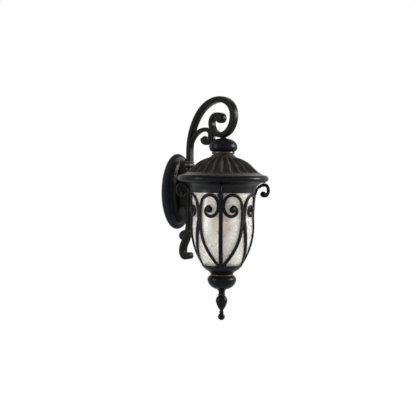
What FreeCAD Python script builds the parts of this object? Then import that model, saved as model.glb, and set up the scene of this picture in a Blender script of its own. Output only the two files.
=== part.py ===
import FreeCAD, Part
import math
import os

import Sketcher
from FreeCAD import Placement, Rotation, Vector

# Outdoor wall lantern: an oval back plate carries a cast scroll arm, and a fluted lantern with a
# scrollwork cage and an urn of seeded glass hangs from the arm's loop.
# Frame: Z is up, the wall is the plane y = 0 with the room on its -Y side, the arm lies in the
# plane x = 0, and the origin is the middle of the back plate on the wall. Millimetres throughout.

doc = FreeCAD.newDocument("wall_lantern")

# Driving dimensions
SIZES = {
    # lantern axis and the heights that stack down from the arm
    "axis_distance": 202.8,
    "knob_height": 37.0,
    "neck_height": 15.0,
    "roof_height": 71.5,
    "band_height": 27.5,
    "cage_height": 202.6,
    "cup_height": 27.4,
    "vase_height": 42.5,
    "finial_height": 88.8,
    "seat_gap": 0.2,
    # back plate
    "plate_height": 224.0,
    "plate_width": 120.0,
    "flange_width": 23.0,
    "flange_end_width": 14.0,
    "flange_depth": 14.0,
    "boss_step": 3.0,
    "boss_bevel": 9.0,
    "boss_depth": 10.0,
    "plate_wall": 3.0,
    "stud_spacing": 36.0,
    "stud_radius": 2.0,
    "stud_reach": 5.4,
    "cap_nut_radius": 4.6,
    "cap_nut_height": 9.0,
    "cap_nut_skirt": 4.0,
    "cap_nut_flat": 1.6,
    "cap_nut_bore_depth": 5.9,
    # mounting strap behind the plate
    "strap_length": 98.0,
    "strap_width": 20.0,
    "strap_thickness": 2.5,
    "slot_spacing": 78.0,
    "slot_length": 12.0,
    "slot_radius": 2.25,
    "ground_screw_radius": 1.8,
    "ground_head_radius": 4.0,
    "ground_head_height": 2.4,
    # scroll arm
    "arm_width": 21.0,
    "branch_width": 14.0,
    "arm_round": 4.5,
    "stem_distance": 57.0,
    "stem_thickness": 14.5,
    "stem_foot_height": -95.0,
    "stem_spring_height": 119.0,
    "loop_top_height": 263.8,
    "loop_top_back": 17.0,
    "loop_front_reach": 42.5,
    "loop_front_height": 216.0,
    "loop_foot_height": 164.0,
    "loop_foot_back": 7.0,
    "loop_foot_thickness": 15.5,
    "loop_thickness": 17.5,
    "curl_back": 49.0,
    "curl_back_height": 198.5,
    "curl_top_back": 25.0,
    "curl_top_height": 221.0,
    "curl_thickness": 13.0,
    "eye_back": 10.5,
    "eye_height": 211.0,
    "eye_radius": 14.5,
    "eye_width": 27.0,
    "hanger_boss_radius": 9.5,
    "hanger_boss_height": 10.0,
    "branch_thickness": 12.0,
    "branch_top_distance": 126.0,
    "branch_top_height": 181.0,
    "branch_front_reach": 22.5,
    "branch_front_drop": 16.0,
    "branch_foot_reach": 6.0,
    "branch_foot_drop": 39.0,
    "branch_tip_back": 11.5,
    "branch_tip_drop": 28.0,
    "branch_tip_thickness": 9.6,
    "branch_eye_radius": 9.5,
    "branch_round": 2.5,
    "leaf_reach": 34.0,
    "leaf_foot_drop": 34.0,
    "leaf_thickness": 7.0,
    "leaf_tip_thickness": 4.2,
    "leaf_round": 1.4,
    "tail_bend_distance": 47.0,
    "tail_bend_height": -133.0,
    "tail_back_distance": 29.5,
    "tail_back_height": -175.0,
    "tail_foot_distance": 44.0,
    "tail_foot_height": -190.5,
    "tail_tip_distance": 62.0,
    "tail_tip_height": -185.5,
    "tail_thickness": 19.0,
    "lobe_distance": 31.0,
    "lobe_height": -130.0,
    "lobe_thickness": 24.0,
    "lobe_root_rise": 12.0,
    "lobe_root_thickness": 20.0,
    "root_top_height": 92.0,
    "root_foot_height": -46.0,
    "collar_height": 77.0,
    "collar_cushion": 11.0,
    "collar_proud": 3.6,
    "collar_round": 2.5,
    "collar_ring": 3.2,
    "collar_ring_proud": 2.2,
    "collar_ring_round": 1.4,
    "collar_ring_pitch": 10.5,
    "arm_screw_radius": 2.5,
    "arm_screw_head_radius": 4.6,
    "arm_screw_head_height": 3.4,
    "arm_screw_bite": 14.0,
    "arm_screw_upper": 55.0,
    "arm_screw_lower": -26.0,
    # knob, neck ring and the tube that holds the stack
    "tube_radius": 5.0,
    "tube_bore": 3.5,
    "tube_engagement": 12.0,
    "thread_gap": 0.15,
    "knob_foot_radius": 33.0,
    "knob_belly_radius": 39.8,
    "knob_belly_rise": 12.4,
    "knob_shoulder_radius": 23.0,
    "knob_shoulder_rise": 33.0,
    "knob_seat_radius": 8.0,
    "neck_foot_radius": 37.5,
    "neck_groove_radius": 29.8,
    "neck_groove_rise": 6.0,
    "neck_bead_height": 7.0,
    "nut_radius": 8.0,
    "nut_height": 5.0,
    # roof
    "crown_radius": 45.0,
    "crown_thickness": 3.0,
    "shoulder_radius": 79.5,
    "shoulder_rise": 48.3,
    "ledge_radius": 111.0,
    "ledge_rise": 23.5,
    "rim_radius": 126.2,
    "rim_foot_radius": 117.0,
    "rim_bevel_rise": 5.5,
    "rim_face_rise": 16.5,
    "rim_ledge_drop": 3.0,
    "rim_ledge_reach": 123.0,
    "crown_slope": 18.0,
    "shoulder_slope": 46.0,
    "ledge_slope": 24.0,
    "flute_count": 24.0,
    "flute_depth": 3.6,
    "flute_ridge": 0.16,
    "flute_fade_start": 0.12,
    "flute_fade_span": 0.85,
    "roof_wall": 3.5,
    "roof_pad_radius": 11.0,
    "roof_lip_radius": 92.0,
    "roof_lip_height": 4.0,
    "roof_screw_circle": 97.0,
    "roof_screw_radius": 1.9,
    "roof_screw_head_radius": 3.6,
    "roof_screw_head_height": 2.6,
    "roof_screw_bite": 4.5,
    # gallery band, glass and cage
    "band_foot_height": 5.6,
    "band_wall": 3.3,
    "glass_gap": 0.5,
    "glass_top_radius": 88.2,
    "glass_waist_radius": 83.1,
    "glass_waist_drop": 75.0,
    "glass_foot_radius": 52.0,
    "glass_toe_radius": 45.5,
    "glass_toe_drop": 11.2,
    "glass_wall": 3.0,
    "glass_lap": 11.0,
    "gasket_height": 2.0,
    "cage_gap": 0.3,
    "bar_thickness": 4.0,
    "bar_width": 9.0,
    "rib_thickness": 5.6,
    "rib_foot_thickness": 3.0,
    "rib_width": 11.5,
    "rib_foot_drop": 2.6,
    "panel_gap_angle": 0.3,
    "kiss_drop": 62.0,
    "kiss_offset": 58.5,
    "sweep_drop": 145.0,
    "sweep_offset": 43.0,
    "foot_offset": 6.0,
    "arch_drop": 5.0,
    "arch_offset": 31.0,
    "bend_offset": 7.0,
    "bend_drop": 34.0,
    "curl_foot_offset": 28.5,
    "curl_foot_drop": 63.5,
    "curl_side_offset": 43.5,
    "curl_side_drop": 50.0,
    "curl_side_width": 8.0,
    "curl_tip_width": 7.0,
    "curl_ball_offset": 32.0,
    "curl_ball_drop": 45.0,
    "curl_ball_radius": 9.0,
    "ear_width": 9.0,
    "ear_thickness": 9.5,
    "ear_round": 3.0,
    "ear_root_drop": 14.0,
    "ear_front_reach": 10.5,
    "ear_front_rise": 6.0,
    "ear_foot_drop": 8.5,
    "ear_ball_back": 3.5,
    "ear_ball_drop": 4.5,
    "ear_ball_radius": 8.5,
    "ear_ball_latitude": 72.0,
    "rib_screw_radius": 1.6,
    "rib_screw_bite": 4.0,
    # cup, vase and finial
    "cup_lip_radius": 59.8,
    "cup_lip_height": 2.0,
    "cup_wall": 2.0,
    "cup_waist_radius": 39.6,
    "cup_waist_rise": 8.3,
    "cup_foot_radius": 31.5,
    "cup_floor_drop": 13.2,
    "rod_radius": 4.0,
    "rod_above_floor": 8.0,
    "rod_in_finial": 16.0,
    "rod_nut_radius": 7.5,
    "rod_nut_height": 5.0,
    "vase_bead_radius": 30.5,
    "vase_bead_height": 4.0,
    "vase_shoulder_radius": 33.5,
    "vase_belly_radius": 40.0,
    "vase_belly_drop": 15.0,
    "vase_foot_radius": 13.0,
    "finial_flange_radius": 12.6,
    "finial_flange_height": 1.6,
    "finial_neck_radius": 9.2,
    "finial_neck_drop": 9.0,
    "finial_bead_drop": 13.5,
    "finial_bead_height": 5.6,
    "finial_bulb_radius": 16.6,
    "finial_bulb_drop": 34.5,
    "finial_waist_radius": 4.9,
    "finial_waist_drop": 60.0,
    "finial_drip_drop": 63.0,
    "finial_drip_height": 6.6,
    "finial_ball_neck": 5.4,
    "finial_ball_drop": 70.5,
    # lamp holder and bulb
    "socket_drop": 20.0,
    "cap_radius": 17.0,
    "cap_height": 14.0,
    "cap_wall": 1.6,
    "socket_radius": 19.5,
    "socket_length": 42.0,
    "socket_bore": 14.6,
    "socket_bore_depth": 34.0,
    "shell_wall": 0.7,
    "shell_length": 24.0,
    "shell_setback": 3.0,
    "contact_radius": 4.0,
    "contact_height": 2.5,
    "bulb_base_radius": 13.2,
    "bulb_base_length": 27.0,
    "bulb_tip_radius": 4.5,
    "bulb_tip_height": 3.0,
    "bulb_neck_drop": 38.0,
    "bulb_globe_radius": 30.0,
    "bulb_globe_drop": 78.0,
    "bulb_length": 108.0,
    "bulb_fit": 0.3,
}

# Arc shapes: the tangent of a quarter of the arc's turn, positive where the profile bulges outwards
HALF_ROUND = 1.0
BALL_ROUND = 0.75
QUARTER_ROUND = 0.414
FULL = 0.36
PLUMP = 0.25
BELLY = 0.17
SOFT = 0.12
FAINT = 0.034


class Size:
    """A number from the sheet, or worked out from it, kept with the formula that binds it."""

    def __init__(self, value, formula):
        self.value = float(value)
        self.formula = formula

    def __add__(self, other):
        other = as_size(other)
        return Size(self.value + other.value, f"({self.formula} + {other.formula})")

    def __sub__(self, other):
        other = as_size(other)
        return Size(self.value - other.value, f"({self.formula} - {other.formula})")

    def __mul__(self, other):
        other = as_size(other)
        return Size(self.value * other.value, f"({self.formula} * {other.formula})")

    def __truediv__(self, other):
        other = as_size(other)
        return Size(self.value / other.value, f"({self.formula} / {other.formula})")

    def __rsub__(self, other):
        return as_size(other) - self

    def __neg__(self):
        return Size(-self.value, f"(-{self.formula})")


def as_size(item):
    return item if isinstance(item, Size) else Size(item, repr(float(item)))


def hypotenuse(across, along):
    length = math.hypot(across.value, along.value)
    return Size(length, f"sqrt({across.formula}^2 + {along.formula}^2)")


class Namespace:
    """The sheet's sizes by name."""


sheet = doc.addObject("Spreadsheet::Sheet", "sizes")
mm = Namespace()
for row, (alias, number) in enumerate(SIZES.items(), start=1):
    sheet.set(f"A{row}", alias)
    sheet.set(f"B{row}", str(number))
    sheet.setAlias(f"B{row}", alias)
    setattr(mm, alias, Size(number, "sizes." + alias))
doc.recompute()

# Levels that the pieces share
NAUGHT = Size(0.0, "0")
hang_height = mm.loop_foot_height - mm.hanger_boss_height
knob_foot = hang_height - mm.knob_height
roof_top = knob_foot - mm.neck_height
band_top = roof_top - mm.roof_height
band_foot = band_top - mm.band_height
cup_top = band_foot - mm.cage_height
cup_foot = cup_top - mm.cup_height
vase_foot = cup_foot - mm.vase_height
cup_floor = cup_top - mm.cup_floor_drop
socket_top = band_top - mm.socket_drop
socket_collar = socket_top - mm.cap_height
plate_face = mm.flange_depth + mm.boss_depth
tube_hole = mm.tube_radius + mm.thread_gap
rod_hole = mm.rod_radius + mm.thread_gap
stud_hole = mm.stud_radius + mm.thread_gap
roof_screw_hole = mm.roof_screw_radius + mm.thread_gap
rib_screw_hole = mm.rib_screw_radius + mm.thread_gap
arm_screw_hole = mm.arm_screw_radius + mm.thread_gap

nodes = []


def node(part, name):
    """Names a finished sub-part."""
    part.Label = name
    nodes.append(part)
    return part


def bind(part, **properties):
    for name, size in properties.items():
        part.setExpression(name.replace("__", "."), as_size(size).formula)


def put(part, x=NAUGHT, y=NAUGHT, z=NAUGHT):
    bind(part, Placement__Base__x=x, Placement__Base__y=y, Placement__Base__z=z)
    return part


def hang(part, level):
    """Puts a part on the lantern's axis at a level."""
    return put(part, y=-mm.axis_distance, z=level)


# Sketches and bodies


def new_sketch(body, name, role):
    sketch = body.newObject("Sketcher::SketchObject", name)
    plane = next(item for item in body.Origin.OriginFeatures if item.Role == role)
    sketch.AttachmentSupport = [(plane, "")]
    sketch.MapMode = "FlatFace"
    return sketch


def arc_middle(start, end, bulge):
    """The point half way along the arc that leaves the chord by the given bulge."""
    chord = end - start
    return (start + end) * 0.5 + Vector(chord.y, -chord.x, 0) * (bulge / 2)


def sketch_arc(start, middle, end):
    """The arc through three points, in the sketch's own sense of turning."""
    circle = Part.Arc(start, middle, end).toShape().Curve
    spokes = [point - circle.Center for point in (start, middle, end)]
    first, half, last = [math.atan2(spoke.y, spoke.x) for spoke in spokes]
    turn = 2 * math.pi
    if (half - first) % turn > (last - first) % turn:
        first, last = last, first
    return Part.ArcOfCircle(Part.Circle(circle.Center, Vector(0, 0, 1), circle.Radius), first, last)


def hold(sketch, kind, geometry, end, size):
    """Ties one coordinate of a point to the sheet, or to the axis where it is nought."""
    if size.value == 0.0:
        axis = -2 if kind == "DistanceX" else -1
        sketch.addConstraint(Sketcher.Constraint("PointOnObject", geometry, end, axis))
        return
    index = sketch.addConstraint(Sketcher.Constraint(kind, -1, 1, geometry, end, size.value))
    sketch.setExpression(f"Constraints[{index}]", size.formula)


def draw(sketch, outline):
    """Draws a closed outline of (across, up, bulge of the edge that arrives there)."""
    corners = [(as_size(a), as_size(b), bulge[0] if bulge else 0) for a, b, *bulge in outline]
    points = [Vector(a.value, b.value, 0) for a, b, bulge in corners]
    ends = []
    for index, (across, up, bulge) in enumerate(corners):
        start, end = points[index - 1], points[index]
        if not bulge:
            edge = sketch.addGeometry(Part.LineSegment(start, end))
            ends.append((edge, 1, 2))
            continue
        edge = sketch.addGeometry(sketch_arc(start, arc_middle(start, end, bulge), end))
        ends.append((edge, 1, 2) if bulge > 0 else (edge, 2, 1))
        if abs(bulge) == HALF_ROUND:
            sketch.addConstraint(Sketcher.Constraint("Symmetric", edge, 1, edge, 2, edge, 3))
            continue
        last_across, last_up = corners[index - 1][:2]
        chord = hypotenuse(across - last_across, up - last_up)
        radius = chord * ((1 + bulge**2) / (4 * abs(bulge)))
        number = sketch.addConstraint(Sketcher.Constraint("Radius", edge, radius.value))
        sketch.setExpression(f"Constraints[{number}]", radius.formula)
    for index, (edge, first, last) in enumerate(ends):
        before = ends[index - 1]
        sketch.addConstraint(Sketcher.Constraint("Coincident", before[0], before[2], edge, first))
        across, up = corners[index][:2]
        hold(sketch, "DistanceX", edge, last, across)
        hold(sketch, "DistanceY", edge, last, up)


def turned(name, outline, angle=360):
    """A piece turned about its own upright axis from its half profile, drawn from the foot up."""
    body = doc.addObject("PartDesign::Body", name)
    sketch = new_sketch(body, name + "_profile", "XZ_Plane")
    draw(sketch, outline)
    turning = body.newObject("PartDesign::Revolution", name + "_turning")
    turning.Profile = sketch
    turning.ReferenceAxis = (sketch, ["V_Axis"])
    turning.Midplane = True
    bind(turning, Angle=angle)
    return body


def pressed(name, outline, thickness):
    """A flat piece with its back on the wall, from its outline as seen from the room."""
    body = doc.addObject("PartDesign::Body", name)
    sketch = new_sketch(body, name + "_outline", "XZ_Plane")
    draw(sketch, outline)
    pad = body.newObject("PartDesign::Pad", name + "_pad")
    pad.Profile = sketch
    bind(pad, Length=thickness)
    return body


def cylinder(name, radius, height, axis=Vector(0, 0, 1)):
    part = doc.addObject("Part::Cylinder", name)
    bind(part, Radius=radius, Height=height)
    part.Placement = Placement(Vector(), Rotation(Vector(0, 0, 1), axis))
    return part


def cut(name, base, *tools):
    tool = tools[0] if len(tools) == 1 else fuse(name + "_tools", *tools)
    part = doc.addObject("Part::Cut", name)
    part.Base = base
    part.Tool = tool
    return part


def fuse(name, *pieces):
    part = doc.addObject("Part::MultiFuse", name)
    part.Shapes = list(pieces)
    part.Refine = True
    return part


def group(name, *pieces):
    part = doc.addObject("Part::Compound", name)
    part.Links = list(pieces)
    return part


# Flat bars that scroll: a row of stations, each a place, a heading in degrees and a thickness


def heading(degrees):
    return Vector(math.cos(math.radians(degrees)), math.sin(math.radians(degrees)), 0)


def arc_from(start, direction, end):
    """The arc that leaves start along direction and arrives at end, or a line where it is straight."""
    chord = end - start
    turn = direction.getAngle(chord)
    if turn < 1e-4:
        return Part.LineSegment(start, end)
    side = direction - chord * (direction.dot(chord) / chord.dot(chord))
    side.normalize()
    middle = (start + end) * 0.5 + side * (chord.Length / 2 * math.tan(turn / 2))
    return Part.Arc(start, middle, end)


def tangent_arcs(start, leave, end, arrive):
    """Two arcs, or one line, from start to end that keep both headings."""
    way = end - start
    if leave.getAngle(way) < 1e-4 and arrive.getAngle(way) < 1e-4:
        return [Part.LineSegment(start, end)]
    both = leave + arrive
    spread = 2 * (1 - leave.dot(arrive))
    reach = way.dot(both)
    if spread < 1e-6:
        step = way.dot(way) / (2 * reach)
    else:
        step = (math.sqrt(reach**2 + spread * way.dot(way)) - reach) / spread
    middle = (start + leave * step + end - arrive * step) * 0.5
    turn_back = arc_from(end, arrive * -1, middle)
    return [arc_from(start, leave, middle), turn_back]


def bar_outline(name, stations, across, along):
    """The outline of a flat bar that follows its stations, in the plane of across and along."""
    places = [Vector(as_size(a).value, as_size(b).value, 0) for a, b, degrees, thick in stations]
    ways = [heading(degrees) for a, b, degrees, thick in stations]
    halves = [as_size(thick).value / 2 for a, b, degrees, thick in stations]
    lefts = [p + Vector(-w.y, w.x, 0) * half for p, w, half in zip(places, ways, halves)]
    rights = [p - Vector(-w.y, w.x, 0) * half for p, w, half in zip(places, ways, halves)]
    curves = [Part.Arc(lefts[0], places[0] - ways[0] * halves[0], rights[0])]
    for i in range(len(stations) - 1):
        curves += tangent_arcs(lefts[i], ways[i], lefts[i + 1], ways[i + 1])
        curves += tangent_arcs(rights[i], ways[i], rights[i + 1], ways[i + 1])
    curves.append(Part.Arc(lefts[-1], places[-1] + ways[-1] * halves[-1], rights[-1]))
    edges = Part.sortEdges([curve.toShape() for curve in curves])[0]
    face = Part.Face(Part.Wire(edges))
    normal = across.cross(along)
    frame = FreeCAD.Matrix(
        across.x, along.x, normal.x, 0, across.y, along.y, normal.y, 0, across.z, along.z, normal.z, 0
    )
    outline = doc.addObject("Part::Feature", name)
    outline.Shape = face.transformed(frame, True)
    return outline


def extruded(name, outline, direction, length):
    part = doc.addObject("Part::Extrusion", name)
    part.Base = outline
    part.DirMode = "Custom"
    part.Dir = direction
    part.Solid = True
    part.Symmetric = True
    bind(part, LengthFwd=length)
    return part


def rounded(name, part, direction, radius):
    """Rounds the edges that run along both flat sides of an extruded bar."""
    doc.recompute()
    middle = part.Shape.BoundBox.Center.dot(direction)
    edges = []
    for index, edge in enumerate(part.Shape.Edges, start=1):
        levels = [abs(vertex.Point.dot(direction) - middle) for vertex in edge.Vertexes]
        flat = max(levels) - min(levels) < 1e-6 and edge.Length > 0
        if flat:
            edges.append((index, radius.value, radius.value))
    fillet = doc.addObject("Part::Fillet", name)
    fillet.Base = part
    fillet.Edges = edges
    return fillet


def common(name, *pieces):
    part = doc.addObject("Part::MultiCommon", name)
    part.Shapes = list(pieces)
    return part


def screw(name, shank, length, head, head_height):
    """A pan head screw that stands on its head's seat, with its shank upwards."""
    return turned(
        name,
        [
            (NAUGHT, -head_height),
            (head, -head_height),
            (head, NAUGHT),
            (shank, NAUGHT),
            (shank, length),
            (NAUGHT, length),
        ],
    )


def ring(inner, outer, foot, top):
    return [(inner, foot), (outer, foot), (outer, top), (inner, top)]


TO_ROOM = Vector(0, -1, 0)
ACROSS = Vector(1, 0, 0)
UP = Vector(0, 0, 1)
UPRIGHT = Rotation(UP, ACROSS * -1, TO_ROOM, "XYZ")


# Back plate: a domed oval flange with a bevelled boss, hollow behind


def oval(name, height, width, depth):
    part = doc.addObject("Part::Ellipse", name)
    bind(part, MajorRadius=height / 2, MinorRadius=width / 2)
    part.Placement = Placement(Vector(), UPRIGHT)
    return put(part, y=-depth)


def dome(name, inset, depth):
    """The flange's convex face as a loft, set in and back by a wall."""
    sections = []
    for index, turn in enumerate((0, 30, 60, 90)):
        share = 1 - math.cos(math.radians(turn))
        across = inset + mm.flange_width * share
        along = inset + mm.flange_end_width * share
        rise = depth * math.sin(math.radians(turn))
        size = (mm.plate_height - along * 2, mm.plate_width - across * 2)
        sections.append(oval(f"{name}_{index}", *size, rise))
    return lofted(name, sections)


def lofted(name, sections, ruled=False):
    part = doc.addObject("Part::Loft", name)
    part.Sections = sections
    part.Solid = True
    part.Ruled = ruled
    return part


def bevelled(name, inset, back, face):
    """The boss's bevelled sides as a loft, set in by a wall."""
    foot = inset + mm.flange_width + mm.boss_step
    end = inset + mm.flange_end_width + mm.boss_step
    bevel = mm.boss_bevel
    sections = [
        oval(name + "_foot", mm.plate_height - end * 2, mm.plate_width - foot * 2, back),
        oval(
            name + "_top",
            mm.plate_height - (end + bevel) * 2,
            mm.plate_width - (foot + bevel) * 2,
            face,
        ),
    ]
    return lofted(name, sections, ruled=True)


def to_room(name, radius, length, x=NAUGHT, y=NAUGHT, z=NAUGHT):
    """A round hole or shank along the way into the room."""
    return put(cylinder(name, radius, length, TO_ROOM), x, y, z)


def face_to_room(part, x, y, z):
    part.Placement = Placement(Vector(), Rotation(Vector(0, 0, 1), TO_ROOM))
    return put(part, x, y, z)


def make_back_plate():
    inner_face = plate_face - mm.plate_wall
    outside = fuse(
        "plate_outside",
        dome("plate_flange", NAUGHT, mm.flange_depth),
        bevelled("plate_boss", NAUGHT, mm.flange_depth / 2, plate_face),
    )
    tools = [
        dome("plate_hollow", mm.plate_wall, mm.flange_depth - mm.plate_wall),
        bevelled("boss_hollow", mm.plate_wall, NAUGHT, inner_face),
    ]
    for side in (-1, 1):
        x = mm.stud_spacing * (side / 2)
        tools.append(to_room(f"stud_hole_{side}", stud_hole, plate_face * 2, x))
    for name, level in arm_screw_levels:
        tools.append(to_room(f"arm_hole_{name}", arm_screw_hole, plate_face * 2, z=level))
    node(cut("back_plate", outside, *tools), "back_plate")


def slot(name, x):
    half = mm.slot_length / 2 - mm.slot_radius
    return pressed(
        name,
        [
            (x + half, -mm.slot_radius),
            (x + half, mm.slot_radius, HALF_ROUND),
            (x - half, mm.slot_radius),
            (x - half, -mm.slot_radius, HALF_ROUND),
        ],
        mm.strap_thickness * 2,
    )


def make_mounting():
    half = mm.strap_length / 2 - mm.strap_width / 2
    rise = mm.strap_width / 2
    blank = pressed(
        "strap_blank",
        [
            (half, -rise),
            (half, rise, HALF_ROUND),
            (-half, rise),
            (-half, -rise, HALF_ROUND),
        ],
        mm.strap_thickness,
    )
    holes = [slot(f"slot_{side}", mm.slot_spacing * (side / 2)) for side in (-1, 1)]
    holes.append(to_room("ground_hole", mm.ground_screw_radius + mm.thread_gap, mm.strap_thickness * 2))
    studs = []
    nuts = []
    reach = plate_face + mm.stud_reach
    for side in (-1, 1):
        x = mm.stud_spacing * (side / 2)
        holes.append(to_room(f"strap_hole_{side}", stud_hole, mm.strap_thickness * 2, x))
        studs.append(to_room(f"stud_{side}", mm.stud_radius, reach, x))
        nut = turned(
            f"cap_nut_{side}",
            [
                (stud_hole, NAUGHT),
                (mm.cap_nut_radius, NAUGHT),
                (mm.cap_nut_radius, mm.cap_nut_skirt),
                (mm.cap_nut_flat, mm.cap_nut_height, PLUMP),
                (NAUGHT, mm.cap_nut_height),
                (NAUGHT, mm.cap_nut_bore_depth),
                (stud_hole, mm.cap_nut_bore_depth),
            ],
        )
        nuts.append(face_to_room(nut, x, -plate_face, NAUGHT))
    node(cut("mounting_strap", blank, *holes), "mounting_strap")
    node(group("plate_studs", *studs), "plate_studs")
    node(group("cap_nuts", *nuts), "cap_nuts")
    ground = screw(
        "ground_screw",
        mm.ground_screw_radius,
        mm.strap_thickness,
        mm.ground_head_radius,
        mm.ground_head_height,
    )
    ground.Placement = Placement(Vector(), Rotation(Vector(0, 0, 1), TO_ROOM * -1))
    node(put(ground, y=-mm.strap_thickness), "ground_screw")
    screws = []
    for name, level in arm_screw_levels:
        item = screw(
            f"arm_screw_{name}",
            mm.arm_screw_radius,
            mm.plate_wall + mm.arm_screw_bite,
            mm.arm_screw_head_radius,
            mm.arm_screw_head_height,
        )
        screws.append(face_to_room(item, NAUGHT, mm.plate_wall - plate_face, level))
    node(group("arm_screws", *screws), "arm_screws")


# Scroll arm: one casting of bars that curl in the plane x = 0


def arm_bar(name, stations, width, radius):
    outline = bar_outline(name + "_outline", stations, TO_ROOM, UP)
    bar = extruded(name + "_bar", outline, ACROSS, width)
    return rounded(name, bar, ACROSS, radius)


def eye(name, distance, height, radius, width):
    part = cylinder(name, radius, width, ACROSS)
    return put(part, width * -0.5, -distance, height)


def make_arm():
    axis = mm.axis_distance
    stem = mm.stem_distance
    loop = mm.loop_thickness
    curl = mm.curl_thickness
    branch = mm.branch_thickness
    tail = mm.tail_thickness
    crest = (mm.branch_top_distance, mm.branch_top_height)
    tip = (crest[0] - mm.branch_tip_back, crest[1] - mm.branch_tip_drop)
    leaf_front = crest[0] + mm.leaf_reach
    leaf_foot = crest[1] - mm.leaf_foot_drop
    main = arm_bar(
        "arm_loop",
        [
            (mm.tail_tip_distance, mm.tail_tip_height, 195, tail),
            (mm.tail_foot_distance, mm.tail_foot_height, 180, tail),
            (mm.tail_back_distance, mm.tail_back_height, 90, tail),
            (mm.tail_bend_distance, mm.tail_bend_height, 65, tail),
            (stem, mm.stem_foot_height, 90, mm.stem_thickness),
            (stem, mm.stem_spring_height, 90, mm.stem_thickness),
            (axis - mm.loop_top_back, mm.loop_top_height, 0, loop),
            (axis + mm.loop_front_reach, mm.loop_front_height, -90, loop),
            (axis - mm.loop_foot_back, mm.loop_foot_height, 180, mm.loop_foot_thickness),
            (axis - mm.curl_back, mm.curl_back_height, 90, curl),
            (axis - mm.curl_top_back, mm.curl_top_height, 0, curl),
            (axis - mm.eye_back, mm.eye_height + mm.eye_radius / 2, -40, curl),
        ],
        mm.arm_width,
        mm.arm_round,
    )
    fork = arm_bar(
        "arm_branch",
        [
            (stem, mm.stem_spring_height, 84, branch),
            (*crest, 0, branch),
            (crest[0] + mm.branch_front_reach, crest[1] - mm.branch_front_drop, -90, branch),
            (crest[0] + mm.branch_foot_reach, crest[1] - mm.branch_foot_drop, 180, branch),
            (*tip, 90, mm.branch_tip_thickness),
        ],
        mm.branch_width,
        mm.branch_round,
    )
    leaf = arm_bar(
        "arm_leaf",
        [
            (*crest, 0, mm.leaf_thickness),
            (leaf_front, leaf_foot + mm.leaf_thickness, -90, mm.leaf_thickness),
            (leaf_front - mm.leaf_thickness / 2, leaf_foot, -130, mm.leaf_tip_thickness),
        ],
        mm.branch_width,
        mm.leaf_round,
    )
    lobe = arm_bar(
        "arm_lobe",
        [
            (stem, mm.lobe_height + mm.lobe_root_rise, 200, mm.lobe_root_thickness),
            (mm.lobe_distance, mm.lobe_height, 235, mm.lobe_thickness),
        ],
        mm.arm_width,
        mm.arm_round,
    )
    pieces = [main, fork, leaf, lobe]
    eye_at = (axis - mm.eye_back, mm.eye_height)
    pieces.append(rounded_disc("arm_eye", *eye_at, mm.eye_radius, mm.eye_width))
    branch_eye = (tip[0] + mm.branch_eye_radius, tip[1])
    pieces.append(rounded_disc("branch_eye", *branch_eye, mm.branch_eye_radius, mm.branch_width))
    pieces.append(make_root())
    pieces += make_collar()
    boss = cylinder("hanger_boss", mm.hanger_boss_radius, mm.hanger_boss_height)
    pieces.append(hang(boss, hang_height))
    tools = [hang(cylinder("hanger_hole", tube_hole, mm.tube_engagement), hang_height)]
    for name, level in arm_screw_levels:
        depth = mm.arm_screw_bite + mm.seat_gap
        tools.append(to_room(f"root_hole_{name}", arm_screw_hole, depth, y=-plate_face, z=level))
    node(cut("scroll_arm", fuse("arm_casting", *pieces), *tools), "scroll_arm")


def rounded_disc(name, distance, height, radius, width):
    return rounded(name, eye(name + "_disc", distance, height, radius, width), ACROSS, mm.arm_round)


def make_root():
    """The web that joins the stem to the plate's boss."""
    outline = [
        (plate_face, mm.root_foot_height),
        (mm.stem_distance, mm.root_foot_height - mm.stem_thickness),
        (mm.stem_distance, mm.root_top_height + mm.stem_thickness),
        (plate_face, mm.root_top_height),
    ]
    points = [Vector(0, -a.value, b.value) for a, b in outline]
    web = doc.addObject("Part::Feature", "root_outline")
    bow = mm.stem_thickness.value / 2
    foot = Part.Arc(points[0], (points[0] + points[1]) * 0.5 + Vector(0, 0, bow), points[1])
    top = Part.Arc(points[2], (points[2] + points[3]) * 0.5 - Vector(0, 0, bow), points[3])
    sides = [Part.LineSegment(points[1], points[2]), Part.LineSegment(points[3], points[0])]
    edges = [curve.toShape() for curve in (foot, sides[0], top, sides[1])]
    web.Shape = Part.Face(Part.Wire(edges))
    return extruded("root_web", web, ACROSS, mm.arm_width)


def make_collar():
    """Two thin rings and a cushion round the stem."""
    rings = []
    thin = (mm.collar_ring, mm.collar_ring_proud, mm.collar_ring_round.value)
    cushion = (mm.collar_cushion, mm.collar_proud, mm.collar_round.value)
    for step, (height, proud, radius) in ((-1, thin), (0, cushion), (1, thin)):
        box = doc.addObject("Part::Box", f"collar_{step + 1}")
        width = mm.arm_width + proud * 2
        depth = mm.stem_thickness + proud * 2
        bind(box, Length=width, Width=depth, Height=height)
        level = mm.collar_height + mm.collar_ring_pitch * step - height / 2
        put(box, width * -0.5, -mm.stem_distance - depth / 2, level)
        doc.recompute()
        fillet = doc.addObject("Part::Fillet", f"collar_round_{step + 1}")
        fillet.Base = box
        fillet.Edges = [(index, radius, radius) for index in range(1, len(box.Shape.Edges) + 1)]
        rings.append(fillet)
    return rings


# Knob, neck ring and the tube they hang on


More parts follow.
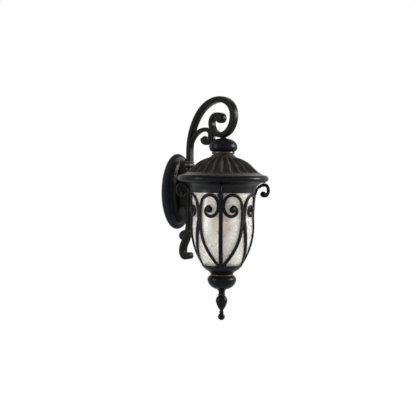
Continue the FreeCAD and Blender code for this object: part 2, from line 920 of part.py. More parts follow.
def make_neck():
    knob = turned(
        "top_knob",
        [
            (tube_hole, NAUGHT),
            (mm.knob_foot_radius, NAUGHT),
            (mm.knob_belly_radius, mm.knob_belly_rise, PLUMP),
            (mm.knob_shoulder_radius, mm.knob_shoulder_rise, FULL),
            (mm.knob_seat_radius, mm.knob_height),
            (tube_hole, mm.knob_height),
        ],
    )
    node(hang(knob, knob_foot), "top_knob")
    bead_foot = mm.neck_height - mm.neck_bead_height
    neck = turned(
        "neck_ring",
        [
            (tube_hole, NAUGHT),
            (mm.neck_foot_radius, NAUGHT),
            (mm.neck_groove_radius, mm.neck_groove_rise, -PLUMP),
            (mm.neck_groove_radius, bead_foot),
            (mm.neck_groove_radius, mm.neck_height, FULL),
            (tube_hole, mm.neck_height),
        ],
    )
    node(hang(neck, roof_top), "neck_ring")
    tube_foot = socket_top - mm.cap_wall - mm.nut_height
    tube_top = hang_height + mm.tube_engagement
    tube = turned("hanger_tube", ring(mm.tube_bore, mm.tube_radius, NAUGHT, tube_top - tube_foot))
    node(hang(tube, tube_foot), "hanger_tube")
    roof_nut = nut("roof_nut", mm.nut_radius, mm.nut_height, tube_hole, roof_cavity_top - mm.nut_height)
    cap_nut = nut("cap_nut", mm.nut_radius, mm.nut_height, tube_hole, tube_foot)
    node(group("tube_nuts", roof_nut, cap_nut), "tube_nuts")


def nut(name, radius, height, bore, level):
    blank = doc.addObject("Part::Prism", name + "_blank")
    blank.Polygon = 6
    bind(blank, Circumradius=radius, Height=height)
    return cut(name, hang(blank, level), hang(cylinder(name + "_bore", bore, height), level))


# Roof: lofted through fluted rings, on a turned ledge and rim, and hollow below


roof_cavity_top = roof_top - mm.crown_thickness - mm.roof_wall


def roof_line():
    """Places down the roof's ogee, from the crown to the ledge, as (radius, height above the rim's foot)."""
    crown = Vector(mm.crown_radius.value, (mm.roof_height - mm.crown_thickness).value, 0)
    shoulder = Vector(mm.shoulder_radius.value, mm.shoulder_rise.value, 0)
    ledge = Vector(mm.ledge_radius.value, mm.ledge_rise.value, 0)
    slopes = (mm.crown_slope, mm.shoulder_slope, mm.ledge_slope)
    leave, lean, arrive = [heading(-slope.value) for slope in slopes]
    curves = tangent_arcs(crown, leave, shoulder, lean)
    curves += tangent_arcs(shoulder, lean, ledge, arrive)
    edges = [curve.toShape() for curve in curves]
    middles = [edge.valueAt((edge.FirstParameter + edge.LastParameter) / 2) for edge in edges]
    joints = [curves[0].EndPoint, curves[2].EndPoint]
    return sorted([crown, shoulder, ledge, *middles, *joints], key=lambda point: -point.y)


def fluted_ring(name, radius, level, depth):
    """A ring with a hollow for each flute and a narrow ridge between them."""
    count = round(mm.flute_count.value)
    pitch = 2 * math.pi / count
    ridge = pitch * mm.flute_ridge.value / 2

    def at(angle, distance):
        x = distance * math.cos(angle)
        y = distance * math.sin(angle) - mm.axis_distance.value
        return Vector(x, y, level)

    edges = []
    for index in range(count):
        angle = index * pitch
        first, last = angle + ridge, angle + pitch - ridge
        edges.append(Part.Arc(at(angle - ridge, radius), at(angle, radius), at(first, radius)).toShape())
        middle = at(angle + pitch / 2, radius - depth)
        edges.append(Part.Arc(at(first, radius), middle, at(last, radius)).toShape())
    part = doc.addObject("Part::Feature", name)
    part.Shape = Part.Wire(edges)
    return part


def make_roof():
    line = roof_line()
    rings = []
    for index, place in enumerate(line):
        share = index / (len(line) - 1)
        fade = math.sin(math.pi * (mm.flute_fade_start + mm.flute_fade_span * share).value)
        depth = mm.flute_depth.value * fade * place.x / mm.shoulder_radius.value
        rings.append(fluted_ring(f"flutes_{index}", place.x, band_top.value + place.y, depth))
    flutes = lofted("roof_flutes", rings)
    crown_foot = mm.roof_height - mm.crown_thickness
    crown = turned("roof_crown", [
        (NAUGHT, crown_foot),
        (mm.crown_radius - mm.crown_thickness / 2, crown_foot),
        (mm.neck_foot_radius, mm.roof_height, SOFT),
        (NAUGHT, mm.roof_height),
    ])
    rim = turned("roof_rim", [
        (NAUGHT, NAUGHT),
        (mm.rim_foot_radius, NAUGHT),
        (mm.rim_radius - mm.seat_gap, mm.rim_bevel_rise),
        (mm.rim_radius - mm.seat_gap, mm.rim_face_rise, FULL),
        (mm.rim_ledge_reach, mm.ledge_rise - mm.rim_ledge_drop),
        (mm.ledge_radius, mm.ledge_rise, -SOFT),
        (NAUGHT, mm.ledge_rise),
    ])
    drop = mm.flute_depth + mm.roof_wall
    cavity = turned("roof_cavity", [
        (NAUGHT, -mm.seat_gap),
        (mm.roof_lip_radius, -mm.seat_gap),
        (mm.roof_lip_radius, mm.roof_lip_height),
        (mm.rim_foot_radius - mm.roof_wall, mm.roof_lip_height),
        (mm.ledge_radius - mm.roof_wall, mm.ledge_rise - drop),
        (mm.shoulder_radius - drop, mm.shoulder_rise - mm.roof_wall / 2, -SOFT),
        (mm.crown_radius, crown_foot - mm.roof_wall * 1.5, SOFT),
        (mm.roof_pad_radius, roof_cavity_top - band_top),
        (NAUGHT, roof_cavity_top - band_top),
    ])
    tools = [hang(cavity, band_top), hang(cylinder("roof_hole", tube_hole, mm.roof_height * 2), band_top)]
    screws = []
    for index in range(4):
        turn = math.pi / 2 * index
        x = mm.roof_screw_circle * math.cos(turn)
        y = mm.roof_screw_circle * math.sin(turn) - mm.axis_distance
        hole = cylinder(f"lip_hole_{index}", roof_screw_hole, mm.roof_lip_height * 2)
        tools.append(put(hole, x, y, band_top - mm.seat_gap))
        item = screw(
            f"roof_screw_{index}",
            mm.roof_screw_radius,
            mm.roof_lip_height + mm.roof_screw_bite,
            mm.roof_screw_head_radius,
            mm.roof_screw_head_height,
        )
        item.Placement = Placement(Vector(), Rotation(Vector(1, 0, 0), 180))
        screws.append(put(item, x, y, band_top + mm.roof_lip_height))
    casting = fuse("roof_casting", flutes, hang(crown, band_top), hang(rim, band_top))
    node(cut("roof", casting, *tools), "roof")
    node(group("roof_screws", *screws), "roof_screws")


# Gallery band and glass


band_bore = mm.glass_top_radius + mm.glass_gap
band_outer = band_bore + mm.band_wall
rib_screw_level = band_foot + mm.band_foot_height / 2
RIB_TURNS = [45 + 90 * index for index in range(4)]


def make_band():
    band = turned("band_ring", [
        (band_bore, NAUGHT),
        (band_outer, NAUGHT),
        (band_outer, mm.band_foot_height),
        (mm.rim_foot_radius, mm.band_height, -QUARTER_ROUND),
        (band_bore, mm.band_height),
    ])
    tools = []
    screws = []
    reach = mm.band_wall + ear_gap + mm.rib_screw_bite
    for index, turn in enumerate(RIB_TURNS):
        hole = cylinder(f"band_hole_{index}", rib_screw_hole, mm.band_wall * 2)
        tools.append(aim(hole, turn, band_bore - mm.seat_gap, rib_screw_level))
        item = cylinder(f"rib_screw_{index}", mm.rib_screw_radius, reach)
        screws.append(aim(item, turn, band_bore, rib_screw_level))
        lip_turn = math.radians(turn - 45)
        x = mm.roof_screw_circle * math.cos(lip_turn)
        y = mm.roof_screw_circle * math.sin(lip_turn) - mm.axis_distance
        lip_hole = cylinder(f"band_lip_hole_{index}", roof_screw_hole, mm.roof_screw_bite + mm.seat_gap)
        tools.append(put(lip_hole, x, y, band_top - mm.roof_screw_bite))
    node(cut("gallery_band", hang(band, band_foot), *tools), "gallery_band")
    node(group("rib_screws", *screws), "rib_screws")


def aim(part, turn, distance, level):
    """Lays a part that stands on its foot along a spoke of the lantern."""
    spoke = Vector(math.cos(math.radians(turn)), math.sin(math.radians(turn)), 0)
    part.Placement = Placement(Vector(), Rotation(Vector(0, 0, 1), spoke))
    return put(part, distance * spoke.x, distance * spoke.y - mm.axis_distance, level)


def make_glass():
    foot = -mm.cage_height
    toe = foot - mm.glass_toe_drop
    wall = mm.glass_wall
    glass = turned("glass_globe", [
        (mm.glass_toe_radius - wall, toe),
        (mm.glass_toe_radius, toe),
        (mm.glass_foot_radius, foot),
        (mm.glass_waist_radius, -mm.glass_waist_drop, BELLY),
        (mm.glass_top_radius, NAUGHT, -FAINT),
        (mm.glass_top_radius, mm.glass_lap),
        (mm.glass_top_radius - wall, mm.glass_lap),
        (mm.glass_top_radius - wall, NAUGHT),
        (mm.glass_waist_radius - wall, -mm.glass_waist_drop, FAINT),
        (mm.glass_foot_radius - wall, foot, -BELLY),
    ])
    node(hang(glass, band_foot), "glass_globe")
    gasket = turned("glass_gasket", ring(
        mm.glass_toe_radius - wall * 2, mm.glass_toe_radius - wall / 3, NAUGHT, mm.gasket_height
    ))
    node(hang(gasket, cup_floor), "glass_gasket")


# Cage: four castings from one pattern, each with a rib, two scrolls with ball ends and an ear


ear_gap = mm.seat_gap * 4


def cage_shell(name, top, foot, angle):
    """A stretch of the wall that lies round the glass, of the given thickness."""
    low = -mm.cage_height - mm.rib_foot_drop
    high = -mm.seat_gap
    inner = [mm.glass_foot_radius, mm.glass_waist_radius, mm.glass_top_radius]
    inner = [radius + mm.cage_gap for radius in inner]
    body = turned(name, [
        (inner[0], low, -BELLY),
        (inner[0] + foot, low),
        (inner[1] + top, -mm.glass_waist_drop, BELLY),
        (inner[2] + top, high, -FAINT),
        (inner[2], high),
        (inner[1], -mm.glass_waist_drop, FAINT),
    ], angle)
    return put(body, z=band_foot)


def lyre_bar(side):
    """One scroll of the pattern, from the rib's foot up to the kiss, over the arch and into its curl."""
    bar = mm.bar_width

    def station(offset, drop, degrees, thick):
        way = degrees if side > 0 else 180 - degrees
        return (offset * side, band_foot - drop, way, thick)

    stations = [
        station(mm.foot_offset, mm.cage_height, 52, bar),
        station(mm.sweep_offset, mm.sweep_drop, 66, bar),
        station(mm.kiss_offset, mm.kiss_drop, 90, bar),
        station(mm.arch_offset, mm.arch_drop, 180, bar),
        station(mm.bend_offset, mm.bend_drop, 270, bar),
        station(mm.curl_foot_offset, mm.curl_foot_drop, 360, bar),
        station(mm.curl_side_offset, mm.curl_side_drop, 450, mm.curl_side_width),
        station(mm.curl_ball_offset, mm.curl_ball_drop - bar, 540, mm.curl_tip_width),
    ]
    outline = bar_outline(f"lyre_outline_{side}", stations, Vector(0, 1, 0), UP)
    return extruded(f"lyre_{side}", outline, ACROSS, mm.glass_top_radius * 4)


def curl_ball(side):
    ball = doc.addObject("Part::Sphere", f"curl_ball_{side}")
    bind(ball, Radius=mm.curl_ball_radius)
    radius = mm.glass_waist_radius + mm.bar_thickness
    depth = Size(
        math.sqrt(radius.value**2 - mm.curl_ball_offset.value**2),
        f"sqrt({radius.formula}^2 - {mm.curl_ball_offset.formula}^2)",
    )
    return put(ball, depth, mm.curl_ball_offset * side, band_foot - mm.curl_ball_drop)


def ear_bar():
    """The ear: up the band's hollow, out under the rim and round to its ball."""
    thick = mm.ear_thickness
    root = band_outer + ear_gap + thick / 2
    stations = [
        (root, band_foot - mm.ear_root_drop, 90, thick),
        (root, band_foot + mm.band_foot_height, 90, thick),
        (mm.rim_foot_radius, band_top - ear_gap - thick / 2, 0, thick),
        (mm.rim_foot_radius + mm.ear_front_reach, band_foot + mm.ear_front_rise, -90, thick),
        (mm.rim_foot_radius, band_foot - mm.ear_foot_drop, 180, thick),
    ]
    outline = bar_outline("ear_outline", stations, ACROSS, UP)
    bar = extruded("ear_bar", outline, Vector(0, 1, 0), mm.ear_width)
    ball = doc.addObject("Part::Sphere", "ear_ball")
    bind(ball, Radius=mm.ear_ball_radius, Angle1=-mm.ear_ball_latitude, Angle2=mm.ear_ball_latitude)
    ball.Placement = Placement(Vector(), Rotation(UP, TO_ROOM))
    put(ball, mm.rim_foot_radius - mm.ear_ball_back, z=band_foot - mm.ear_ball_drop)
    return [rounded("ear", bar, Vector(0, 1, 0), mm.ear_round), ball]


def make_cage():
    sector = 90 - mm.panel_gap_angle
    bars = fuse("lyre", lyre_bar(-1), lyre_bar(1))
    bar_shell = cage_shell("bar_shell", mm.bar_thickness, mm.rib_foot_thickness, sector)
    scrolls = common("scrolls", bars, bar_shell)
    strap = doc.addObject("Part::Box", "rib_strap")
    bind(strap, Length=mm.glass_top_radius * 2, Width=mm.rib_width, Height=mm.cage_height * 2)
    put(strap, y=mm.rib_width * -0.5, z=cup_top - mm.rib_foot_drop * 2)
    rib = common("rib", strap, cage_shell("rib_shell", mm.rib_thickness, mm.rib_foot_thickness, sector))
    ball_shell = cage_shell("ball_shell", mm.curl_ball_radius * 2, mm.curl_ball_radius * 2, sector)
    balls = common("balls", fuse("curl_balls", curl_ball(-1), curl_ball(1)), ball_shell)
    pattern = fuse("panel_casting", scrolls, rib, balls, *ear_bar())
    hole = cylinder("panel_hole", rib_screw_hole, mm.rib_screw_bite + ear_gap, ACROSS)
    put(hole, band_outer, z=rib_screw_level)
    panel = cut("panel_pattern", pattern, hole)
    doc.recompute()
    for index, turn in enumerate(RIB_TURNS, start=1):
        casting = doc.addObject("Part::Feature", f"cage_panel_{index}")
        casting.Shape = panel.Shape
        casting.Placement = Placement(Vector(), Rotation(Vector(0, 0, 1), turn))
        put(casting, y=-mm.axis_distance)
        node(casting, f"cage_panel_{index}")


# Cup, vase and finial below the glass


def make_foot():
    lip = mm.cup_lip_radius
    wall = mm.cup_wall
    floor = -mm.cup_floor_drop
    foot = -mm.cup_height
    floor_radius = mm.glass_toe_radius
    cup = turned("bottom_cup", [
        (rod_hole, foot),
        (mm.cup_foot_radius, foot),
        (mm.cup_waist_radius, foot + mm.cup_waist_rise, -SOFT),
        (lip, -mm.cup_lip_height, SOFT),
        (lip, NAUGHT),
        (lip - wall, NAUGHT),
        (lip - wall, -mm.rib_foot_drop - mm.seat_gap),
        (floor_radius, floor),
        (rod_hole, floor),
    ])
    node(hang(cup, cup_top), "bottom_cup")
    vase = turned("vase_knob", [
        (rod_hole, -mm.vase_height),
        (mm.vase_foot_radius, -mm.vase_height),
        (mm.vase_belly_radius, -mm.vase_belly_drop, FULL),
        (mm.vase_shoulder_radius, -mm.vase_bead_height, PLUMP),
        (mm.vase_bead_radius, -mm.vase_bead_height),
        (mm.vase_bead_radius, NAUGHT, HALF_ROUND),
        (rod_hole, NAUGHT),
    ])
    node(hang(vase, cup_foot), "vase_knob")
    bead_foot = mm.finial_bead_drop + mm.finial_bead_height
    drip_foot = mm.finial_drip_drop + mm.finial_drip_height
    finial = turned("finial", [
        (NAUGHT, -mm.finial_height),
        (mm.finial_ball_neck, -mm.finial_ball_drop, BALL_ROUND),
        (mm.finial_ball_neck, -drip_foot),
        (mm.finial_waist_radius, -mm.finial_drip_drop, FULL),
        (mm.finial_waist_radius, -mm.finial_waist_drop),
        (mm.finial_bulb_radius, -mm.finial_bulb_drop, SOFT),
        (mm.finial_neck_radius, -bead_foot, PLUMP),
        (mm.finial_neck_radius, -mm.finial_bead_drop, FULL),
        (mm.finial_neck_radius, -mm.finial_neck_drop),
        (mm.finial_flange_radius, -mm.finial_flange_height, -PLUMP),
        (mm.finial_flange_radius, NAUGHT),
        (rod_hole, NAUGHT),
        (rod_hole, -mm.rod_in_finial - mm.seat_gap),
        (NAUGHT, -mm.rod_in_finial - mm.seat_gap),
    ])
    node(hang(finial, vase_foot), "finial")
    rod_foot = vase_foot - mm.rod_in_finial
    rod = cylinder("finial_rod", mm.rod_radius, cup_floor + mm.rod_above_floor - rod_foot)
    node(hang(rod, rod_foot), "finial_rod")
    node(nut("rod_nut", mm.rod_nut_radius, mm.rod_nut_height, rod_hole, cup_floor), "rod_nut")


# Lamp holder and bulb


def make_lamp():
    cap = turned("socket_cap", [
        (mm.cap_radius - mm.cap_wall, NAUGHT),
        (mm.cap_radius, NAUGHT),
        (mm.cap_radius, mm.cap_height / 2),
        (mm.cap_radius / 2, mm.cap_height, PLUMP),
        (tube_hole, mm.cap_height),
        (tube_hole, mm.cap_height - mm.cap_wall),
        (mm.cap_radius / 2, mm.cap_height - mm.cap_wall),
        (mm.cap_radius - mm.cap_wall, mm.cap_height / 2, -PLUMP),
    ])
    node(hang(cap, socket_collar), "socket_cap")
    bore_top = mm.socket_bore_depth - mm.socket_length
    socket = turned("lamp_socket", [
        (mm.socket_bore, -mm.socket_length),
        (mm.socket_radius, -mm.socket_length),
        (mm.socket_radius, -mm.cap_wall * 2),
        (mm.cap_radius, NAUGHT, PLUMP),
        (NAUGHT, NAUGHT),
        (NAUGHT, bore_top),
        (mm.socket_bore, bore_top),
    ])
    node(hang(socket, socket_collar), "lamp_socket")
    bore_mouth = socket_collar - mm.socket_length
    shell_inner = mm.socket_bore - mm.shell_wall - mm.thread_gap
    shell = turned("screw_shell", ring(
        shell_inner, mm.socket_bore - mm.thread_gap, NAUGHT, mm.shell_length
    ))
    node(hang(shell, bore_mouth + mm.shell_setback), "screw_shell")
    contact_foot = socket_collar + bore_top - mm.contact_height
    contact = turned("socket_contact", [
        (NAUGHT, NAUGHT),
        (mm.contact_radius, mm.contact_height, SOFT),
        (NAUGHT, mm.contact_height),
    ])
    node(hang(contact, contact_foot), "socket_contact")
    base = mm.bulb_base_radius
    bulb = turned("bulb", [
        (NAUGHT, -mm.bulb_length),
        (mm.bulb_globe_radius, -mm.bulb_globe_drop, QUARTER_ROUND),
        (base + mm.bulb_fit, -mm.bulb_neck_drop, SOFT),
        (base, -mm.bulb_base_length),
        (base, -mm.bulb_tip_height * 2),
        (mm.bulb_tip_radius, -mm.bulb_tip_height),
        (mm.bulb_tip_radius, NAUGHT),
        (NAUGHT, NAUGHT),
    ])
    node(hang(bulb, contact_foot - mm.seat_gap), "bulb")


arm_screw_levels = (("upper", mm.arm_screw_upper), ("lower", mm.arm_screw_lower))

make_back_plate()
make_mounting()
make_arm()
make_neck()
make_roof()
make_band()
make_glass()
make_cage()
make_foot()
make_lamp()
doc.recompute()

faults = [item.Name for item in doc.Objects if "Invalid" in item.State or "Error" in item.State]
faults += [item.Label for item in nodes if item.Shape.isNull() or not item.Shape.isValid()]
if faults:
    raise RuntimeError("not sound: " + ", ".join(faults))

os.makedirs("parts", exist_ok=True)
for item in nodes:
    item.Shape.exportStep(f"parts/{item.Label}.step")
    print(item.Label, len(item.Shape.Solids), round(item.Shape.Volume))
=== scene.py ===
# %% [markdown]
# # An outdoor wall lantern
# A cast lantern hangs from a scroll arm on an oval back plate. The CAD solids are loaded as a fixed frame:
# they hold every size and place. This script gives them their looks. Castings, glass and bulb are modelled
# again as fine meshes on the same sizes, because their highlights need smoother surfaces than solids for
# collision have, and hidden hardware keeps its CAD mesh and only gets its finish.

# %% Load the CAD frame
import math

import bmesh
import bpy
from mathutils import Matrix, Vector


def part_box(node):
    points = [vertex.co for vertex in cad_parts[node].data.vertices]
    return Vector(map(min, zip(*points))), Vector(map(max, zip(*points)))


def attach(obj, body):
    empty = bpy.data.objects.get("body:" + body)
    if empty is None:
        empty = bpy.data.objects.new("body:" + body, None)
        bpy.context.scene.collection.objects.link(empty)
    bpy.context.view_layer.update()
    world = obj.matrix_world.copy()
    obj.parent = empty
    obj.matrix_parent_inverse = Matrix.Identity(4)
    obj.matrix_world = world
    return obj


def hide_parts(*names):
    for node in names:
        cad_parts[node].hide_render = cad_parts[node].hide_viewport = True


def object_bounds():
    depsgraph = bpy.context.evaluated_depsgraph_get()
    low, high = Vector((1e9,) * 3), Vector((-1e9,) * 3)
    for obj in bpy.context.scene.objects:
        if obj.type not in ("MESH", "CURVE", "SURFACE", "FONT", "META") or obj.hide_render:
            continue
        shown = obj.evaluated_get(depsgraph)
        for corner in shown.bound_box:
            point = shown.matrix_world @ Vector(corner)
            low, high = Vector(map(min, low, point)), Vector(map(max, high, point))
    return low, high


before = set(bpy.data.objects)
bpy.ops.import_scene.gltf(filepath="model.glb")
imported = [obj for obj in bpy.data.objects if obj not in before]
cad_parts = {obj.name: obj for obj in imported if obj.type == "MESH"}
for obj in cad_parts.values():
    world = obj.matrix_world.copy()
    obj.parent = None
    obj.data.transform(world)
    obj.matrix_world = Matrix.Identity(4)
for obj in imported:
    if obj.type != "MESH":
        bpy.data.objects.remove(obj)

CAD_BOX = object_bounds()
MM = 0.001
print("CAD box in mm:", [[round(v / MM) for v in corner] for corner in CAD_BOX])

# %% [markdown]
# ## Where things are
# All turned pieces share the lantern's upright axis. Its place and the level of each piece come from the
# boxes of the CAD nodes, so nothing has to be fitted by eye.

# %% The lantern's axis and levels
knob_low, knob_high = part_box("top_knob")
AXIS = Vector(((knob_low.x + knob_high.x) / 2, (knob_low.y + knob_high.y) / 2, 0))


def foot_of(node):
    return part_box(node)[0].z


def top_of(node):
    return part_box(node)[1].z


BAND_FOOT = foot_of("gallery_band")
print("axis", [round(v / MM, 1) for v in AXIS], "band foot", round(BAND_FOOT / MM, 1))

# %% [markdown]
# ## Camera
# The photograph was taken from the left and just above the middle of the lantern, from a little over two
# metres. A camera is placed by its azimuth, its elevation and the size of a pixel at the lantern's axis,
# which gives the lens without any trial.

# %% Camera at the photograph's angle
PHOTO_SIDE = 416
AZIMUTH = math.radians(-41.0)
ELEVATION = math.radians(2.6)
ROLL = math.radians(0.6)
DISTANCE = 2.4
PIXEL = 2.809 * MM
AXIS_COLUMN = 222.6
MIDDLE_ROW_HEIGHT = -41.0 * MM
SENSOR = 36.0

view_back = Vector((
    math.sin(AZIMUTH) * math.cos(ELEVATION), -math.cos(AZIMUTH) * math.cos(ELEVATION), math.sin(ELEVATION)
))
level_right = Vector((math.cos(AZIMUTH), math.sin(AZIMUTH), 0))
level_up = view_back.cross(level_right)
view_right = level_right * math.cos(ROLL) + level_up * math.sin(ROLL)
view_up = level_up * math.cos(ROLL) - level_right * math.sin(ROLL)
aim = AXIS + Vector((0, 0, MIDDLE_ROW_HEIGHT)) - view_right * (AXIS_COLUMN - PHOTO_SIDE / 2) * PIXEL

lens = bpy.data.cameras.new("photo_camera")
lens.sensor_width = SENSOR
lens.lens = SENSOR * DISTANCE / PIXEL / PHOTO_SIDE
camera = bpy.data.objects.new("photo_camera", lens)
camera.matrix_world = Matrix.Translation(aim + view_back * DISTANCE) @ Matrix(
    (view_right, view_up, view_back)
).transposed().to_4x4()
bpy.context.scene.collection.objects.link(camera)
bpy.context.scene.camera = camera
bpy.context.scene.view_settings.view_transform = "Standard"
print("lens", round(lens.lens, 1), "mm")

# %% [markdown]
# ## Materials: two small tools
# Colours are written as sRGB hex, as a paint chart gives them, and Blender's shaders want linear values, so
# one function translates. Another adds a shader node, sets its options and fills its sockets with values or
# links, which keeps each material short enough to read.

# %% Colour and node tools


def paint(code):
    """A linear RGBA colour from sRGB hex."""
    channels = [int(code[i:i + 2], 16) / 255 for i in (1, 3, 5)]
    linear = [c / 12.92 if c <= 0.04045 else ((c + 0.055) / 1.055) ** 2.4 for c in channels]
    return (*linear, 1.0)


def add(tree, kind, sockets=None, **options):
    """Adds a shader node with its options, and gives each named socket a value or a link."""
    made = tree.nodes.new("ShaderNode" + kind)
    for name, value in options.items():
        setattr(made, name, value)
    for name, value in (sockets or {}).items():
        if isinstance(value, bpy.types.NodeSocket):
            tree.links.new(value, made.inputs[name])
        else:
            made.inputs[name].default_value = value
    return made


def new_material(name):
    """An empty node material and its surface socket."""
    material = bpy.data.materials.new(name)
    material.use_nodes = True
    tree = material.node_tree
    tree.nodes.clear()
    return material, tree, add(tree, "OutputMaterial").inputs["Surface"]


def per_metre(size_mm):
    """A texture's scale for a feature of that size, on coordinates in metres."""
    return 1 / (size_mm * MM)


print("dark bronze in linear:", [round(v, 4) for v in paint("#1C1A19")])

# %% [markdown]
# ## Powder-coated cast aluminium
# The castings are sand-cast aluminium with a near-black bronze powder coat, and the finisher rubs edges back
# to a brown metal tone. To the eye that is a dark satin film with an orange-peel skin, a slightly uneven
# tone, and warm lines where the metal is proudest. The lightened edges are partly that wear and partly
# painted highlight, and edges that face down are lightened less; upward faces get the same brown as painted
# highlight from above. Pointiness finds edges on a fine mesh, the normal finds upward faces, and noise
# breaks both up. One function makes the coat, and each casting has its own tone and share of wear and
# painted highlight: the bluish tones of the turned pieces and plate are painted reflection, and the lighter
# tones of the plate and roof are painted light.

# %% Material: near-black powder coat, worn on its edges, with painted highlight on edges and upward faces
ORANGE_PEEL_MM = 2.2  # the real skin is near 1 mm, drawn coarser to show in the render
ORANGE_PEEL_HEIGHT = 0.3 * MM
ORANGE_PEEL_STRENGTH = 0.12
MOTTLE_MM = 38.0
WEAR_AND_HIGHLIGHT_PATCH_MM = 9.0
WEAR_AND_HIGHLIGHT_BREAKS = (0.30, 0.62)  # the noise levels between which wear and painted highlight set in
WORN_OR_LIT_METAL = 0.35  # how metallic a spot of full wear or painted highlight is
EDGE_TILT_RANGE = (-0.5, 0.2)  # the upward tilts from which edges are lightened not at all and fully
UNEVEN_GLOSS = (-0.06, 0.08)


def powder_coat_wear_and_highlight(
    name, coat, tint, rub_and_highlight, edge=(0.52, 0.60, 1.0), face=(0.55, 0.97, 0.0), gloss=0.36, satin=0.07
):
    """Coat lightened on edges by wear and painted highlight, on upward faces by painted highlight, to a
    share.
    """
    material, tree, surface = new_material(name)
    place = add(tree, "TexCoord").outputs["Object"]
    mottle = add(tree, "TexNoise", {"Vector": place, "Scale": per_metre(MOTTLE_MM), "Detail": 5.0})
    patch = add(tree, "TexNoise", {"Vector": place, "Scale": per_metre(WEAR_AND_HIGHLIGHT_PATCH_MM), "Detail": 3.0})
    peel = add(tree, "TexNoise", {"Vector": place, "Scale": per_metre(ORANGE_PEEL_MM), "Detail": 2.0})
    form = add(tree, "NewGeometry")
    # edges lightened: partly wear from the finisher's rubbing, partly painted highlight
    proud = add(tree, "MapRange", {
        "Value": form.outputs["Pointiness"], "From Min": edge[0], "From Max": edge[1], "To Max": edge[2],
    })
    slope = add(tree, "SeparateXYZ", {0: form.outputs["Normal"]})
    upward_tilt_share = add(tree, "MapRange", {
        "Value": slope.outputs["Z"], "From Min": EDGE_TILT_RANGE[0], "From Max": EDGE_TILT_RANGE[1],
    })
    edge_wear_and_highlight = add(
        tree, "Math", {0: proud.outputs["Result"], 1: upward_tilt_share.outputs["Result"]}, operation="MULTIPLY"
    )
    # painted highlight: upward faces lightened as if lit from above
    painted_top_light = add(tree, "MapRange", {
        "Value": slope.outputs["Z"], "From Min": face[0], "From Max": face[1], "To Max": face[2],
    })
    wear_or_painted_light = add(
        tree, "Math", {0: edge_wear_and_highlight.outputs[0], 1: painted_top_light.outputs["Result"]}, operation="MAXIMUM"
    )
    broken = add(tree, "MapRange", {
        "Value": patch.outputs["Fac"], "From Min": WEAR_AND_HIGHLIGHT_BREAKS[0], "From Max": WEAR_AND_HIGHLIGHT_BREAKS[1],
    })
    wear_and_highlight = add(
        tree, "Math", {0: wear_or_painted_light.outputs[0], 1: broken.outputs["Result"]}, operation="MULTIPLY"
    ).outputs[0]
    tone = add(
        tree, "Mix", {0: mottle.outputs["Fac"], 6: paint(coat), 7: paint(tint)}, data_type="RGBA"
    )
    colour = add(tree, "Mix", {0: wear_and_highlight, 6: tone.outputs[2], 7: paint(rub_and_highlight)}, data_type="RGBA")
    rough = add(tree, "MapRange", {
        "Value": mottle.outputs["Fac"],
        "To Min": gloss + UNEVEN_GLOSS[0], "To Max": gloss + UNEVEN_GLOSS[1],
    })
    metal_share = add(tree, "MapRange", {"Value": wear_and_highlight, "To Max": WORN_OR_LIT_METAL})
    bump = add(tree, "Bump", {
        "Height": peel.outputs["Fac"], "Strength": ORANGE_PEEL_STRENGTH, "Distance": ORANGE_PEEL_HEIGHT,
    })
    shader = add(tree, "BsdfPrincipled", {
        "Base Color": colour.outputs[2],
        "Roughness": rough.outputs["Result"],
        "Metallic": metal_share.outputs["Result"],
        "Specular IOR Level": satin,
        "Normal": bump.outputs["Normal"],
    })
    tree.links.new(shader.outputs["BSDF"], surface)
    return material


# The arm's edges are lightened as wear and, more strongly, as painted highlight; its upward faces get a
# little painted highlight.
arm_coat = powder_coat_wear_and_highlight(
    "powder_coat_arm", "#0A0A09", "#151412", "#7C6F61", edge=(0.53, 0.62, 0.6), face=(0.55, 0.97, 0.08),
    gloss=0.29, satin=0.06,
)
# The turned pieces' bluish tone is a painted reflection; their coat is the same powder coat as the arm's.
turned_coat = powder_coat_wear_and_highlight("powder_coat_turned", "#08090B", "#0F1013", "#5A4A3E", gloss=0.30)
# The roof's lighter tone is painted light in its flutes, its ridges are lightened as wear and painted
# highlight, and its upward ledge gets a painted highlight.
roof_coat = powder_coat_wear_and_highlight(
    "powder_coat_roof", "#141412", "#22201D", "#A29B91", edge=(0.505, 0.55, 0.18), face=(0.84, 0.985, 0.25),
    gloss=0.33, satin=0.13,
)
band_coat = powder_coat_wear_and_highlight("powder_coat_band", "#0B0B0C", "#151516", "#5A4A3E", gloss=0.34, satin=0.13)
cage_coat = powder_coat_wear_and_highlight("powder_coat_cage", "#080809", "#0F0E0F", "#6A5F55", edge=(0.54, 0.66, 0.8))
# The plate's lighter, bluish tone is a painted highlight and reflection on its flange.
plate_coat = powder_coat_wear_and_highlight("powder_coat_plate", "#17191C", "#212327", "#7A6A5A")
# The boss coat's dark tone is painted shade, and the lightening of its upward faces is a painted highlight
# on the bevel and collar.
boss_coat_painted_light = powder_coat_wear_and_highlight(
    "powder_coat_boss_painted_light", "#0A0A0A", "#141313", "#8C877E", edge=(0.53, 0.62, 0.3), face=(0.06, 0.34, 0.7),
    gloss=0.34, satin=0.05,
)
# The beads' browner tone is their own; the lightening of upward faces on beads, neck and moulding is painted
# highlight.
bead_coat = powder_coat_wear_and_highlight(
    "powder_coat_bead", "#251B16", "#3A2B23", "#94796A", face=(0.2, 0.9, 0.5), gloss=0.32, satin=0.20
)
step_coat = powder_coat_wear_and_highlight("powder_coat_step", "#141311", "#201D1B", "#5E5247", face=(0.2, 0.9, 0.4))
print("castings:", arm_coat.name, turned_coat.name, roof_coat.name, band_coat.name, cage_coat.name)
print("plate and trim:", plate_coat.name, boss_coat_painted_light.name, bead_coat.name, step_coat.name)

